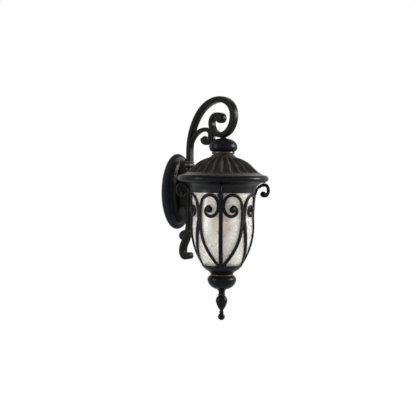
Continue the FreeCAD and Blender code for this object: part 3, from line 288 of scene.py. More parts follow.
# %% [markdown]
# ## Shaping tools
# Two ways of forming cover nearly all of the lantern. A lathe turns a half profile about the axis, a bar is
# swept along a row of stations with tangent arcs between them, and both end as rings of points that one
# function joins into a skin. Arcs are worked out here, so each outline needs only its corners.

# %% Arcs and outlines


def turn_of(way, chord):
    """The signed angle from one flat direction to another."""
    return math.atan2(way.x * chord.y - way.y * chord.x, way.dot(chord))


def turned_by(way, angle):
    return Vector((
        way.x * math.cos(angle) - way.y * math.sin(angle), way.x * math.sin(angle) + way.y * math.cos(angle)
    ))


def arc_points(start, way, end, count):
    """Points along the arc that leaves start in a direction and ends at end."""
    chord = end - start
    bend = turn_of(way, chord)
    if abs(bend) < 1e-4:
        return [start + chord * (i / count) for i in range(count + 1)]
    reach = chord.length / math.sin(bend)
    way = way.normalized()
    shares = [bend * i / count for i in range(count + 1)]
    return [start + turned_by(way, share) * (reach * math.sin(share)) for share in shares]


def outline(corners, count=12):
    """Points along (radius, height, bulge) corners in mm; a bulge above 0 swells outwards."""
    line = []
    for across, up, *bulge in corners:
        end = Vector((across, up)) * MM
        if bulge and line:
            chord = end - line[-1]
            line += arc_points(line[-1], turned_by(chord, -2 * math.atan(bulge[0])), end, count)[1:]
        else:
            line.append(end)
    return line


print("a quarter arc has", len(outline([(1, 0), (0, 1, 0.414)])), "points")

# %% Skins, lathe and dressing
SAME_POINT = 1e-6
CREASE = math.radians(40)
ROUNDED_EDGE = math.radians(32)
CASTING = "cast_bronze_finish"


def skin(work, rings, round_trip=False):
    """Joins rings of points with faces, and closes the ends unless the last ring meets the first."""
    rows = [[work.verts.new(point) for point in ring] for ring in rings]
    pairs = list(zip(rows, rows[1:]))
    if round_trip:
        pairs.append((rows[-1], rows[0]))
    for low, high in pairs:
        for i in range(len(low)):
            work.faces.new((low[i - 1], low[i], high[i], high[i - 1]))
    if not round_trip:
        work.faces.new(rows[0])
        work.faces.new(rows[-1])


def to_object(work, name):
    """A smooth object from the work so far, with doubled points merged."""
    bmesh.ops.remove_doubles(work, verts=work.verts, dist=SAME_POINT)
    bmesh.ops.recalc_face_normals(work, faces=work.faces)
    mesh = bpy.data.meshes.new(name)
    work.to_mesh(mesh)
    work.free()
    mesh.polygons.foreach_set("use_smooth", [True] * len(mesh.polygons))
    mesh.set_sharp_from_angle(angle=CREASE)
    made = bpy.data.objects.new(name, mesh)
    bpy.context.scene.collection.objects.link(made)
    return made


def circle(radius, level, segments):
    """A ring of points about the lantern's axis."""
    turns = [2 * math.pi * i / segments for i in range(segments)]
    return [AXIS + Vector((radius * math.cos(a), radius * math.sin(a), level)) for a in turns]


def lathe(name, corners, foot, segments=128, closed=True):
    """A piece turned about the axis from its half profile, which starts at a level."""
    work = bmesh.new()
    rings = [circle(max(point.x, 0), foot + point.y, segments) for point in outline(corners)]
    skin(work, rings, round_trip=closed)
    return to_object(work, name)


def soften(piece, width_mm):
    """Rounds the crisp edges that casting and coating leave soft."""
    bevel = piece.modifiers.new("soft_edges", "BEVEL")
    bevel.width = width_mm * MM
    bevel.segments = 3
    bevel.limit_method = "ANGLE"
    bevel.angle_limit = ROUNDED_EDGE
    return piece


def dress(piece, material, slot, *nodes):
    """Gives a piece its finish, and lets it ride in place of the CAD nodes that it stands for."""
    piece.data.materials.append(material)
    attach(piece, "root")
    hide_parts(*nodes)
    print(piece.name, len(piece.data.polygons), "faces for", ", ".join(nodes))
    return piece


print("castings take the slot", CASTING)

# %% [markdown]
# ## Knob and neck ring
# Under the arm's loop sits an onion knob on a grooved neck. Both are turned forms. A screw modifier could
# spin a drawn curve, but the lathe above works from a few corners in millimetres, so the sizes stay exact.
# The bead above the groove has a browner rubbed coat, lightened on its upper faces as painted highlight.

# %% Top knob and neck ring
TUBE = 5.15
top_knob = lathe("knob_casting", [
    (TUBE, 0), (33, 0), (39.8, 12.4, 0.25), (33, 27.5, 0.214), (8, 37, 0.184), (TUBE, 37),
], foot_of("top_knob"))
dress(soften(top_knob, 0.8), turned_coat, CASTING, "top_knob")

neck_ring = lathe("neck_casting", [
    (TUBE, 0), (39, 0), (32, 5.0, -0.2), (32, 5.8), (28.6, 6.0), (28.6, 8), (TUBE, 8),
], foot_of("neck_ring"))
dress(soften(neck_ring, 0.6), step_coat, CASTING, "neck_ring")

neck_bead = lathe("neck_bead", [
    (TUBE, 8), (31.2, 8), (31.2, 15, 0.30), (TUBE, 15),
], foot_of("neck_ring"))
dress(neck_bead, bead_coat, CASTING, "neck_ring")

# %% [markdown]
# ## Cup, vase and finial
# Below the glass a cup gathers the ribs, a bowl-shaped vase hangs under it on a bead, and a turned drop
# ends the lantern. They are lathe work again, and the two beads have browner coats of their own.

# %% Bottom cup, vase and finial
ROD = 4.15
bottom_cup = lathe("cup_casting", [
    (ROD, 0), (31.5, 0), (38.6, 8.3, -0.12), (57.2, 24.4, 0.12), (57.4, 27.4), (55.6, 27.4),
    (55.6, 24.6), (45.5, 14.2), (ROD, 14.2),
], foot_of("bottom_cup"))
dress(soften(bottom_cup, 0.7), turned_coat, CASTING, "bottom_cup")

vase = lathe("vase_casting", [
    (ROD, 0), (13, 0), (41, 27.5, 0.36), (33.5, 38.4, 0.25), (ROD, 38.4),
], foot_of("vase_knob"))
dress(soften(vase, 0.7), turned_coat, CASTING, "vase_knob")

vase_bead = lathe("vase_bead", [
    (ROD, 38.4), (30.5, 38.4), (30.5, 42.5, 0.9), (ROD, 42.5),
], foot_of("vase_knob"))
dress(vase_bead, bead_coat, CASTING, "vase_knob")

finial = lathe("finial_casting", [
    (0, 0), (5.4, 18.3, 0.75), (5.4, 19.2), (4.9, 25.8, 0.36), (4.9, 28.8), (16.6, 54.3, 0.12),
    (9.2, 69.7, 0.25), (8.6, 75.3), (9.2, 79.8), (12.6, 87.2, -0.25), (12.6, 88.8), (0, 88.8),
], foot_of("finial"), segments=96, closed=False)
dress(soften(finial, 0.5), turned_coat, CASTING, "finial")

finial_bead = lathe("finial_bead", [
    (8.0, 69.7), (9.2, 69.7), (9.2, 75.3, 0.36), (8.0, 75.3),
], foot_of("finial"), segments=96)
dress(finial_bead, step_coat, CASTING, "finial")

# %% [markdown]
# ## Roof
# The roof is one casting with 24 hollow flutes that run from the crown down an ogee and end in round scoops
# above a smooth ledge. It could be carved with booleans, but a formula is cleaner: each ring of the turned
# form is sunk square to the slope where a flute crosses it, and the ridges between flutes stay for the
# coat's lightened edges to find, partly wear and partly painted highlight. The ledge's upward faces carry a
# painted highlight, and the rim beyond the ledge has the plain dark coat.

# %% Tangent arcs and the roof's ogee


def heading(degrees):
    return Vector((math.cos(math.radians(degrees)), math.sin(math.radians(degrees))))


def tangent_arcs(start, leave, end, arrive, count):
    """Points along two arcs from start to end that keep both directions."""
    way = end - start
    both = leave + arrive
    spread = 2 * (1 - leave.dot(arrive))
    reach = way.dot(both)
    if spread < 1e-6:
        step = way.dot(way) / (2 * reach)
    else:
        step = (math.sqrt(reach**2 + spread * way.dot(way)) - reach) / spread
    middle = (start + leave * step + end - arrive * step) / 2
    return arc_points(start, leave, middle, count) + arc_points(end, -arrive, middle, count)[-2::-1]


LEDGE = Vector((111.0, 23.5)) * MM
SHOULDER = Vector((79.5, 48.3)) * MM
CROWN = Vector((45.0, 68.5)) * MM
LEDGE_WAY, SHOULDER_WAY, CROWN_WAY = heading(156), heading(134), heading(162)
OGEE_STEPS = 12
ogee = tangent_arcs(LEDGE, LEDGE_WAY, SHOULDER, SHOULDER_WAY, OGEE_STEPS)
ogee += tangent_arcs(SHOULDER, SHOULDER_WAY, CROWN, CROWN_WAY, OGEE_STEPS)[1:]
print("ogee rows:", len(ogee))

# %% Flutes
FLUTES = 24
FLUTE_STEPS = 18
FLUTE_DEPTH = 6.2 * MM
HOLLOW_FULLNESS = 1.3
FLUTE_ENDS = (0.13, 1.04)
SCOOP = 0.16


def flute_depth(along, across, radius):
    """How far a flute is cut in, by its shares along the ogee from the ledge and across the pitch."""
    low, high = FLUTE_ENDS
    side = math.cos(math.pi * (across - 0.5)) ** HOLLOW_FULLNESS
    foot = max(0, (low + SCOOP - along) / SCOOP)
    head = max(0, (along - high + SCOOP / 2) / (SCOOP / 2))
    share = max(0, 1 - foot**2 - head**2)
    return FLUTE_DEPTH * radius / SHOULDER.x * side * math.sqrt(share)


def fluted_circle(row, level):
    """A ring of the ogee, sunk square to its slope where flutes cross it."""
    point = ogee[row]
    slope = ogee[min(row + 1, len(ogee) - 1)] - ogee[max(row - 1, 0)]
    inward = Vector((-slope.y, slope.x)).normalized()
    ring = circle(1, 0, FLUTES * FLUTE_STEPS)
    for i, spot in enumerate(ring):
        depth = flute_depth(row / (len(ogee) - 1), i % FLUTE_STEPS / FLUTE_STEPS, point.x)
        sunk = point + inward * depth
        spot.xy = AXIS.xy + (spot.xy - AXIS.xy) * sunk.x
        spot.z = level + sunk.y
    return ring


print(FLUTES, "flutes,", round(FLUTE_DEPTH / MM, 1), "mm deep at the shoulder")

# %% Roof casting
RIM_START = 119 * MM
roof_foot = foot_of("roof")
below = outline([
    (92, 0), (117, 0), (126, 5.5), (126, 16.5, 0.36), (123, 20.5), (111, 23.5, -0.12),
])
above = outline([
    (45, 68.5), (41, 69.4), (39, 71.5, -0.2), (TUBE, 71.5), (TUBE, 65), (11, 65), (44, 60),
    (70.5, 43.5, -0.12), (105, 14.5, 0.12), (112, 4), (92, 4),
])
rings = [circle(p.x, roof_foot + p.y, FLUTES * FLUTE_STEPS) for p in below[:-1]]
rings += [fluted_circle(row, roof_foot) for row in range(len(ogee))]
rings += [circle(p.x, roof_foot + p.y, FLUTES * FLUTE_STEPS) for p in above[1:]]
work = bmesh.new()
skin(work, rings, round_trip=True)
roof = to_object(work, "roof_casting")
dress(roof, roof_coat, CASTING, "roof")
roof.data.materials.append(turned_coat)
for face in roof.data.polygons:
    if (face.center.xy - AXIS.xy).length > RIM_START:
        face.material_index = 1

# %% [markdown]
# ## Gallery band
# A cavetto ring under the rim carries the cage. It is one more turned form, so the lathe makes it. Its
# hollow curve catches soft light on both sides, so its coat reflects a little more than that of the turned
# pieces.

# %% Gallery band
gallery_band = lathe("band_casting", [
    (88.7, 0), (92, 0), (92.6, 8.5), (117, 27.5, -0.40), (88.7, 27.5),
], BAND_FOOT)
dress(soften(gallery_band, 0.8), band_coat, CASTING, "gallery_band")

# %% [markdown]
# ## Back plate
# The oval plate has a full, convex flange, a narrow step and a bevelled boss, and is hollow behind, where
# the wires are joined. Rings of ellipses give it a smooth skin: each row is a place on the section, as the
# distance in from the outline and the depth from the wall. The boss has a darker coat, as painted shade,
# with a painted highlight on the upper half of its bevel, and a thin rubbed moulding marks the step.

# %% Back plate
PLATE_HALF = Vector((60.0, 112.0)) * MM
PLATE_SEGMENTS = 160
FLANGE = Vector((23.0, 14.0)) * MM
FLANGE_END = 14.0 * MM
PLATE_WALL = 3.0 * MM
FLANGE_STEPS = 12
STEP_ROWS = ((24.5, 14), (25.2, 13.4), (29.2, 13.4), (29.7, 14))
BEVEL_ROWS = ((34.2, 22.6), (35.0, 23.6), (36.2, 24))
HOLLOW_ROWS = ((33.7, 11), (38, 21))
MOULDING_ROWS = ((24.0, 13.6), (24.1, 14.5), (24.8, 14.9), (25.5, 14.5), (25.6, 13.2))


def plate_row(inset, depth, share=1.0):
    """An ellipse on the plate, set in from the outline, less at its ends, and drawn in to a share."""
    turns = [2 * math.pi * i / PLATE_SEGMENTS for i in range(PLATE_SEGMENTS)]
    end_inset = inset - (FLANGE.x - FLANGE_END) * min(1, inset / FLANGE.x)
    wide, tall = (PLATE_HALF.x - inset) * share, (PLATE_HALF.y - end_inset) * share
    return [Vector((wide * math.cos(a), -depth, tall * math.sin(a))) for a in turns]


def flange_rows(wall):
    """The flange's convex face, or its hollow at a wall's thickness behind it."""
    turns = [math.pi / 2 * i / FLANGE_STEPS for i in range(FLANGE_STEPS + 1)]
    return [
        plate_row(wall + FLANGE.x * (1 - math.cos(a)), (FLANGE.y - wall) * math.sin(a)) for a in turns
    ]


def section_rows(rows):
    """Ellipses from rows of (inset, depth) in mm."""
    return [plate_row(inset * MM, depth * MM) for inset, depth in rows]


def flat_rows(row, shares):
    """Ellipses that close a face from its last row to its middle."""
    inset, depth = row
    return [plate_row(inset * MM, depth * MM, share) for share in shares]


front = flange_rows(0) + section_rows(STEP_ROWS + BEVEL_ROWS)
front += flat_rows(BEVEL_ROWS[-1], (0.8, 0.5, 0.2, 0))
behind = flange_rows(PLATE_WALL) + section_rows(HOLLOW_ROWS)
behind += flat_rows(HOLLOW_ROWS[-1], (0.6, 0.2, 0))
work = bmesh.new()
skin(work, behind[::-1] + front)
back_plate = to_object(work, "plate_casting")
dress(back_plate, plate_coat, CASTING, "back_plate")
# the boss's front faces take the coat with painted shade and a painted highlight on the bevel
back_plate.data.materials.append(boss_coat_painted_light)
for face in back_plate.data.polygons:
    if face.normal.y < 0 and -face.center.y > FLANGE.y:
        face.material_index = 1

# %% Rubbed moulding round the plate's step
work = bmesh.new()
skin(work, section_rows(MOULDING_ROWS), round_trip=True)
plate_line = to_object(work, "plate_moulding")
dress(plate_line, step_coat, CASTING, "back_plate")

# %% [markdown]
# ## Scroll arm
# The arm is one casting of bars that curl in a single plane. Each bar is a row of stations, a place with a
# heading and a thickness, and the sweep runs tangent arcs along both of its edges, so that the scrolls stay
# smooth while the bar tapers. A section between a circle and a box gives the soft corners of a casting. The
# collar's mouldings on the stem take the boss's coat, with its painted highlight on their upward faces.

# %% Sweeping a bar
CAP_STEPS = 7
CAP_NARROWING = 0.35


def eased(value, squareness):
    """Pushes a sine or cosine towards its ends, so that a circle becomes a box with round corners."""
    return math.copysign(abs(value) ** squareness, value)


def edge_pairs(stations, steps):
    """Points along both edges of a bar, from its stations of (across, up, heading, thickness) in mm."""
    edges = []
    for side in (1, -1):
        spots = []
        for across, up, degrees, thick in stations:
            spots.append(Vector((across, up)) * MM + heading(degrees + 90) * (side * thick / 2 * MM))
        line = [spots[0]]
        for i in range(len(spots) - 1):
            ways = heading(stations[i][2]), heading(stations[i + 1][2])
            line += tangent_arcs(spots[i], ways[0], spots[i + 1], ways[1], steps)[1:]
        edges.append(line)
    return list(zip(*edges))


def sweep(work, stations, width, to_space, squareness=0.62, steps=7, count=24):
    """Skins a bar with round ends; to_space puts a flat point and an offset from the plane into space."""
    pairs = edge_pairs(stations, steps)
    rows = [((left + right) / 2, (left - right) / 2, 1.0) for left, right in pairs]
    caps = [[], []]
    for end, (station, sign) in enumerate(((stations[0], -1), (stations[-1], 1))):
        spot, half, _ = rows[0] if end == 0 else rows[-1]
        for i in range(1, CAP_STEPS + 1):
            turn = math.pi / 2 * i / CAP_STEPS
            onward = heading(station[2]) * (sign * half.length * math.sin(turn))
            fullness = 1 - CAP_NARROWING * (1 - math.cos(turn))
            caps[end].append((spot + onward, half * math.cos(turn), fullness))
    rings = []
    for spot, half, fullness in caps[0][::-1] + rows + caps[1]:
        turns = [2 * math.pi * i / count for i in range(count)]
        rings.append([
            to_space(
                spot + half * eased(math.sin(a), squareness),
                width / 2 * MM * fullness * eased(math.cos(a), squareness),
            )
            for a in turns
        ])
    skin(work, rings)


def arm_space(flat, aside):
    return Vector((aside, -flat.x, flat.y))


print("a bar's round end has", CAP_STEPS, "rings")

# %% Arm bars
ARM_WIDTH = 21.0
BRANCH_WIDTH = 14.0
LANTERN = -AXIS.y / MM
MAIN_SCROLL = [
    (59, -187, 187, 20), (44, -190.5, 180, 19.5), (29.5, -175, 90, 19), (47, -133, 65, 19),
    (57, -95, 90, 14.5), (57, 119, 90, 14.5), (LANTERN - 17, 263.8, 0, 17.5),
    (LANTERN + 42.5, 216, -90, 17.5),
    (LANTERN - 7, 164, 180, 15.5), (LANTERN - 49, 198.5, 90, 13), (LANTERN - 25, 221, 0, 13),
    (LANTERN - 10.5, 218.25, -40, 13),
]
BRANCH = [
    (57, 119, 84, 12), (126, 181, 0, 12), (148.5, 165, -90, 12), (132, 142, 180, 12), (114.5, 153, 90, 9.6),
]
LEAF = [(126, 181, 0, 7), (160, 154, -90, 7), (156.5, 147, -130, 4.2)]
LOBE = [(57, -118, 200, 20), (31, -130, 235, 24)]
work = bmesh.new()
sweep(work, MAIN_SCROLL, ARM_WIDTH, arm_space, squareness=0.38, steps=9)
sweep(work, BRANCH, BRANCH_WIDTH, arm_space, squareness=0.45)
sweep(work, LEAF, BRANCH_WIDTH, arm_space, squareness=0.45)
sweep(work, LOBE, ARM_WIDTH, arm_space, squareness=0.45)
print("arm bars:", len(work.faces), "faces")

# %% Arm eyes and root
EYE_STEPS = 16
ROOT_STEPS = 12
ROOT_START, ROOT_LENGTH = 24.0, 33.0
ROOT_MIDDLE = 23.0
ROOT_HALF, ROOT_FLARE, ROOT_WAIST = 69.0, 17.0, 34.0
ROOT_SQUARENESS = 0.16


def cushion(work, spot, radius, width, to_space, squareness=(0.45, 0.62), count=48):
    """A round eye of a scroll: a disc with full, rounded sides."""
    rings = []
    for i in range(EYE_STEPS + 1):
        turn = math.pi * (i / EYE_STEPS - 0.5)
        reach = radius * MM * eased(math.cos(turn), squareness[0])
        aside = width / 2 * MM * eased(math.sin(turn), squareness[1])
        turns = [2 * math.pi * j / count for j in range(count)]
        rings.append([
            to_space(Vector(spot) * MM + heading(math.degrees(a)) * reach, aside) for a in turns
        ])
    skin(work, rings)


def block(work, rows, squareness, count=40):
    """Skins upright sections of (distance, middle, half height, half width) in mm, away from the wall."""
    rings = []
    for out, middle, rise, wide in rows:
        turns = [2 * math.pi * i / count for i in range(count)]
        rings.append([
            Vector((
                wide * eased(math.cos(a), squareness), -out, middle + rise * eased(math.sin(a), squareness)
            )) * MM
            for a in turns
        ])
    skin(work, rings)


cushion(work, (LANTERN - 10.5, 211), 14.5, 25, arm_space)
cushion(work, (124, 153), 9.5, BRANCH_WIDTH, arm_space)

root_rows = []
for i in range(ROOT_STEPS + 1):
    share = i / ROOT_STEPS
    spread = ROOT_HALF + ROOT_FLARE * share - ROOT_WAIST * share * (1 - share)
    root_rows.append((ROOT_START + ROOT_LENGTH * share, ROOT_MIDDLE, spread, ARM_WIDTH / 2))
block(work, root_rows, ROOT_SQUARENESS)
print("arm with eyes and root:", len(work.faces), "faces")

# %% Arm collar and boss
STEM = 57.0
STEM_HALF = 7.25
COLLAR = 77.0
COLLAR_REACH = 13.0
COLLAR_RINGS = ((-10.5, 1.6, 2.2), (0, 5.5, 3.6), (10.5, 1.6, 2.2))  # middle, half height, projection
COLLAR_STEPS, COLLAR_SIDES = 12, 40
COLLAR_FULLNESS, COLLAR_SQUARENESS = 0.7, 0.3
COLLAR_SINK = 0.4
for middle, rise, proud in COLLAR_RINGS:
    rings = []
    for i in range(COLLAR_STEPS + 1):
        turn = math.pi * (i / COLLAR_STEPS - 0.5)
        swell = proud * eased(math.cos(turn), COLLAR_FULLNESS) - COLLAR_SINK
        wide, deep = ARM_WIDTH / 2 + swell, STEM_HALF + swell
        level = COLLAR + middle + rise * math.sin(turn)
        ring = []
        for j in range(COLLAR_SIDES):
            a = 2 * math.pi * j / COLLAR_SIDES
            aside = wide * eased(math.cos(a), COLLAR_SQUARENESS)
            ring.append(Vector((aside, -STEM + deep * eased(math.sin(a), COLLAR_SQUARENESS), level)) * MM)
        rings.append(ring)
    skin(work, rings)

boss = outline([(0, 0), (9.5, 0), (8.8, 5, -0.2), (9.5, 10, -0.2), (0, 10)])
skin(work, [circle(p.x, top_of("top_knob") + p.y, 40) for p in boss])
scroll_arm = to_object(work, "arm_casting")
dress(scroll_arm, arm_coat, CASTING, "scroll_arm")
# the collar's faces take the same coat, with a painted highlight on their upward faces
scroll_arm.data.materials.append(boss_coat_painted_light)
for face in scroll_arm.data.polygons:
    spot = face.center / MM
    if abs(spot.z - COLLAR) < COLLAR_REACH and abs(spot.y + STEM) < COLLAR_REACH:
        face.material_index = 1

# %% [markdown]
# ## Seeded glass
# The urn is blown glass full of small bubbles, which glass makers call seeds, with a hammered, lightly
# frosted skin. It lets the pale surroundings through but blurs them, so that the far side of the cage fades
# and the bulb is only a soft shape. Rough transmission gives the blur, and bubbles and ripples are bump.

# %% Material: seeded glass
SEED_MM = 6.0
SEED_EDGE = (0.10, 0.42)
SEED_HEIGHT, SEED_STRENGTH = 0.5 * MM, 0.06
RIPPLE_MM = 16.0
RIPPLE_HEIGHT, RIPPLE_STRENGTH = 2.0 * MM, 0.22
FROST = (0.20, 0.36)
GLASS_IOR = 1.5


def seeded_glass():
    """Blown glass with seeds and a hammered skin: pale, milky and sparkling at its bubbles."""
    material, tree, surface = new_material("seeded_glass")
    place = add(tree, "TexCoord").outputs["Object"]
    seeds = add(tree, "TexVoronoi", {"Vector": place, "Scale": per_metre(SEED_MM)})
    bead = add(tree, "MapRange", {
        "Value": seeds.outputs["Distance"], "From Min": SEED_EDGE[0], "From Max": SEED_EDGE[1],
        "To Min": 1.0, "To Max": 0.0,
    }, interpolation_type="SMOOTHSTEP")
    ripple = add(tree, "TexNoise", {"Vector": place, "Scale": per_metre(RIPPLE_MM), "Detail": 1.0})
    seeded = add(tree, "Bump", {
        "Height": bead.outputs["Result"], "Strength": SEED_STRENGTH, "Distance": SEED_HEIGHT,
    })
    hammered = add(tree, "Bump", {
        "Height": ripple.outputs["Fac"], "Strength": RIPPLE_STRENGTH, "Distance": RIPPLE_HEIGHT,
        "Normal": seeded.outputs["Normal"],
    })
    frost = add(tree, "MapRange", {
        "Value": ripple.outputs["Fac"], "To Min": FROST[0], "To Max": FROST[1],
    })
    shader = add(tree, "BsdfPrincipled", {
        "Base Color": paint("#F5F3ED"),
        "Roughness": frost.outputs["Result"],
        "IOR": GLASS_IOR,
        "Transmission Weight": 0.80,
        "Normal": hammered.outputs["Normal"],
    })
    tree.links.new(shader.outputs["BSDF"], surface)
    return material


urn = lathe("urn_glass", [
    (42.5, -213.8), (45.5, -213.8), (52, -202.6), (83.1, -75, 0.17), (88.2, 0, -0.034), (88.2, 11),
    (85.2, 11), (85.2, 0), (80.1, -75, 0.034), (49, -202.6, -0.17),
], BAND_FOOT, segments=160)
dress(urn, seeded_glass(), "seeded_glass", "glass_globe")

# %% [markdown]
# ## Cage
# Four castings stand round the glass. Each has a rib, two mirrored scrolls that end in balls and an ear
# that curls out under the rim. The scrolls are drawn flat, and a function lays every point on the glass, so
# the bars hug the urn. One panel is built, and turned copies give the other three.

# %% Laying bars on the glass
GLASS_WALL = outline([(52, -202.6), (83.1, -75, 0.17), (88.2, 0, -0.034)], count=40)
CAGE_GAP = 0.3
BAR, RIB = 4.0, 5.6
BALL_BACK = 0.2


def glass_radius(level):
    """The glass's outer radius at a level under the band."""
    for low, high in zip(GLASS_WALL, GLASS_WALL[1:]):
        if level <= high.y:
            return low.x + (high.x - low.x) * (level - low.y) / (high.y - low.y)
    return GLASS_WALL[-1].x


def on_glass(flat, lift, thick):
    """A flat point, seen from the front of a panel, on the glass at a height in its bar's thickness."""
    reach = glass_radius(flat.y) + (CAGE_GAP + thick / 2) * MM + lift
    return Vector((math.sqrt(max(reach**2 - flat.x**2, 0)), flat.x, BAND_FOOT + flat.y))


def bar_space(flat, lift):
    return on_glass(flat, lift, BAR)


def rib_space(flat, lift):
    return on_glass(flat, lift, RIB)


def ball_space(flat, lift):
    """As for a bar, but flat towards the glass."""
    return on_glass(flat, lift if lift > 0 else lift * BALL_BACK, BAR)


def ear_space(flat, aside):
    return Vector((flat.x, aside, BAND_FOOT + flat.y))


print("glass radius at its waist:", round(glass_radius(-75 * MM) / MM, 1), "mm")

# %% One cage panel
LYRE = [
    (6, -202.6, 52, 9), (43, -145, 66, 9), (58.5, -62, 90, 9), (31, -5, 180, 9), (7, -34, 270, 9),
    (28.5, -63.5, 360, 9), (43.5, -50, 450, 8), (32, -36, 540, 7),
]
EAR = [
    (93.6, -3, 88, 4), (95.5, 8, 75, 6), (103, 17, 42, 8.5), (117, 21.95, 0, 9.5), (127.5, 6, -90, 9.5),
    (117, -8.5, 180, 9.5),
]
EAR_WIDTH = 9.0
RIB_LINE = [(0, -204, 90, 11.5), (0, -2, 90, 11.5)]
LYRE_BALL, LYRE_BALL_RADIUS = (32, -45), 9
EAR_BALL, EAR_BALL_RADIUS = (113.5, -4.5), 8.5
ROUND = (1, 1)
panel_work = bmesh.new()
for side in (1, -1):
    lyre = [(u * side, z, way if side > 0 else 180 - way, wide) for u, z, way, wide in LYRE]
    sweep(panel_work, lyre, BAR, bar_space, squareness=0.8, steps=10, count=16)
    ball = (LYRE_BALL[0] * side, LYRE_BALL[1])
    cushion(panel_work, ball, LYRE_BALL_RADIUS, 2 * LYRE_BALL_RADIUS, ball_space, squareness=ROUND)
sweep(panel_work, RIB_LINE, RIB, rib_space, squareness=0.7, steps=24, count=16)
sweep(panel_work, EAR, EAR_WIDTH, ear_space, squareness=0.75)
cushion(panel_work, EAR_BALL, EAR_BALL_RADIUS, 2 * EAR_BALL_RADIUS, ear_space, squareness=ROUND)
panel = to_object(panel_work, "panel_casting_1")
print("one panel:", len(panel.data.polygons), "faces")

# %% Four panels
PANELS = 4
FIRST_PANEL = math.radians(45)
castings = [panel]
for index in range(1, PANELS):
    casting = bpy.data.objects.new(f"panel_casting_{index + 1}", panel.data.copy())
    bpy.context.scene.collection.objects.link(casting)
    castings.append(casting)
for index, casting in enumerate(castings):
    turn = Matrix.Rotation(FIRST_PANEL + 2 * math.pi * index / PANELS, 4, "Z")
    casting.data.transform(Matrix.Translation(AXIS) @ turn)
    dress(casting, cage_coat, CASTING, f"cage_panel_{index + 1}")

# %% [markdown]
# ## Hidden hardware
# Inside and behind the castings are plated screws, nuts and tubes, a brass shell, a phenolic lamp holder
# and a rubber ring. They could be modelled again with threads, but they hardly show, so their CAD meshes
# stay and only get a finish. Plated steel and lacquered brass give the eye a clear reflection with an uneven
# gloss, and moulded or painted pieces one quiet tone.

# %% Materials: brass, zinc-plated steel, and other hidden hardware
SPREAD_GLOSS = (-0.08, 0.10)
MOULD_HEIGHT, MOULD_STRENGTH = 0.2 * MM, 0.1


def plain_metal(name, tone, stain, roughness, grain_mm):
    """Plated or lacquered metal, with a grain drawn coarser than the real one so that it shows."""
    material, tree, surface = new_material(name)
    place = add(tree, "TexCoord").outputs["Object"]
    grain = add(tree, "TexNoise", {"Vector": place, "Scale": per_metre(grain_mm), "Detail": 4.0})
    colour = add(
        tree, "Mix", {0: grain.outputs["Fac"], 6: paint(tone), 7: paint(stain)}, data_type="RGBA"
    )
    rough = add(tree, "MapRange", {
        "Value": grain.outputs["Fac"],
        "To Min": roughness + SPREAD_GLOSS[0], "To Max": roughness + SPREAD_GLOSS[1],
    })
    shader = add(tree, "BsdfPrincipled", {
        "Base Color": colour.outputs[2], "Roughness": rough.outputs["Result"], "Metallic": 1.0,
    })
    tree.links.new(shader.outputs["BSDF"], surface)
    return material


def moulded(name, tone, fleck, roughness, grain_mm):
    """Moulded rubber, phenolic or a painted fastener, with a faint grain drawn coarse enough to show."""
    material, tree, surface = new_material(name)
    place = add(tree, "TexCoord").outputs["Object"]
    grain = add(tree, "TexNoise", {"Vector": place, "Scale": per_metre(grain_mm), "Detail": 3.0})
    colour = add(
        tree, "Mix", {0: grain.outputs["Fac"], 6: paint(tone), 7: paint(fleck)}, data_type="RGBA"
    )
    bump = add(tree, "Bump", {
        "Height": grain.outputs["Fac"], "Strength": MOULD_STRENGTH, "Distance": MOULD_HEIGHT,
    })
    shader = add(tree, "BsdfPrincipled", {
        "Base Color": colour.outputs[2], "Roughness": roughness, "Normal": bump.outputs["Normal"],
    })
    tree.links.new(shader.outputs["BSDF"], surface)
    return material


brass = plain_metal("lacquered_brass", "#C8A25C", "#A87F3E", 0.28, 3.0)
zinc = plain_metal("zinc_plated_steel", "#B9BAB6", "#9A9B97", 0.34, 4.0)
painted_nut = moulded("painted_fastener", "#19191B", "#232222", 0.38, 2.0)
phenolic = moulded("moulded_phenolic", "#1A1614", "#241E1A", 0.45, 3.0)
rubber = moulded("moulded_rubber", "#111111", "#1B1B1B", 0.75, 2.0)
finishes = {
    zinc: ("mounting_strap", "plate_studs", "arm_screws", "hanger_tube", "tube_nuts", "roof_screws",
           "rib_screws", "finial_rod", "rod_nut", "socket_cap"),
    brass: ("ground_screw", "screw_shell", "socket_contact"),
    painted_nut: ("cap_nuts",),
    phenolic: ("lamp_socket",),
    rubber: ("glass_gasket",),
}
for material, names in finishes.items():
    for name in names:
        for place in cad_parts[name].material_slots:
            place.material = material
    print(material.name, "on", ", ".join(names))

# %% [markdown]
# ## Bulb
# A filament bulb hangs base up behind the glass. Its envelope is thin blown glass with a light frost, which
# the eye takes as a pale pear with a warm middle. The base is a brass shell whose thread is a helix: its
# radius rises and falls with the height and the turn together.

# %% Bulb envelope
BULB_TOP = top_of("bulb")
BULB_WAVE_MM = 25.0
BULB_WAVE_HEIGHT, BULB_WAVE_STRENGTH = 1.0 * MM, 0.05


def bulb_glass():
    """Thin soda-lime glass, lightly frosted, with the slow waves of blowing."""
    material, tree, surface = new_material("frosted_soda_lime_glass")
    place = add(tree, "TexCoord").outputs["Object"]
    wave = add(tree, "TexNoise", {"Vector": place, "Scale": per_metre(BULB_WAVE_MM), "Detail": 1.0})
    bump = add(tree, "Bump", {
        "Height": wave.outputs["Fac"], "Strength": BULB_WAVE_STRENGTH, "Distance": BULB_WAVE_HEIGHT,
    })
    shader = add(tree, "BsdfPrincipled", {
        "Base Color": paint("#F4EEE8"), "Roughness": 0.22, "IOR": GLASS_IOR, "Transmission Weight": 0.85,
        "Normal": bump.outputs["Normal"],
    })
    tree.links.new(shader.outputs["BSDF"], surface)
    return material


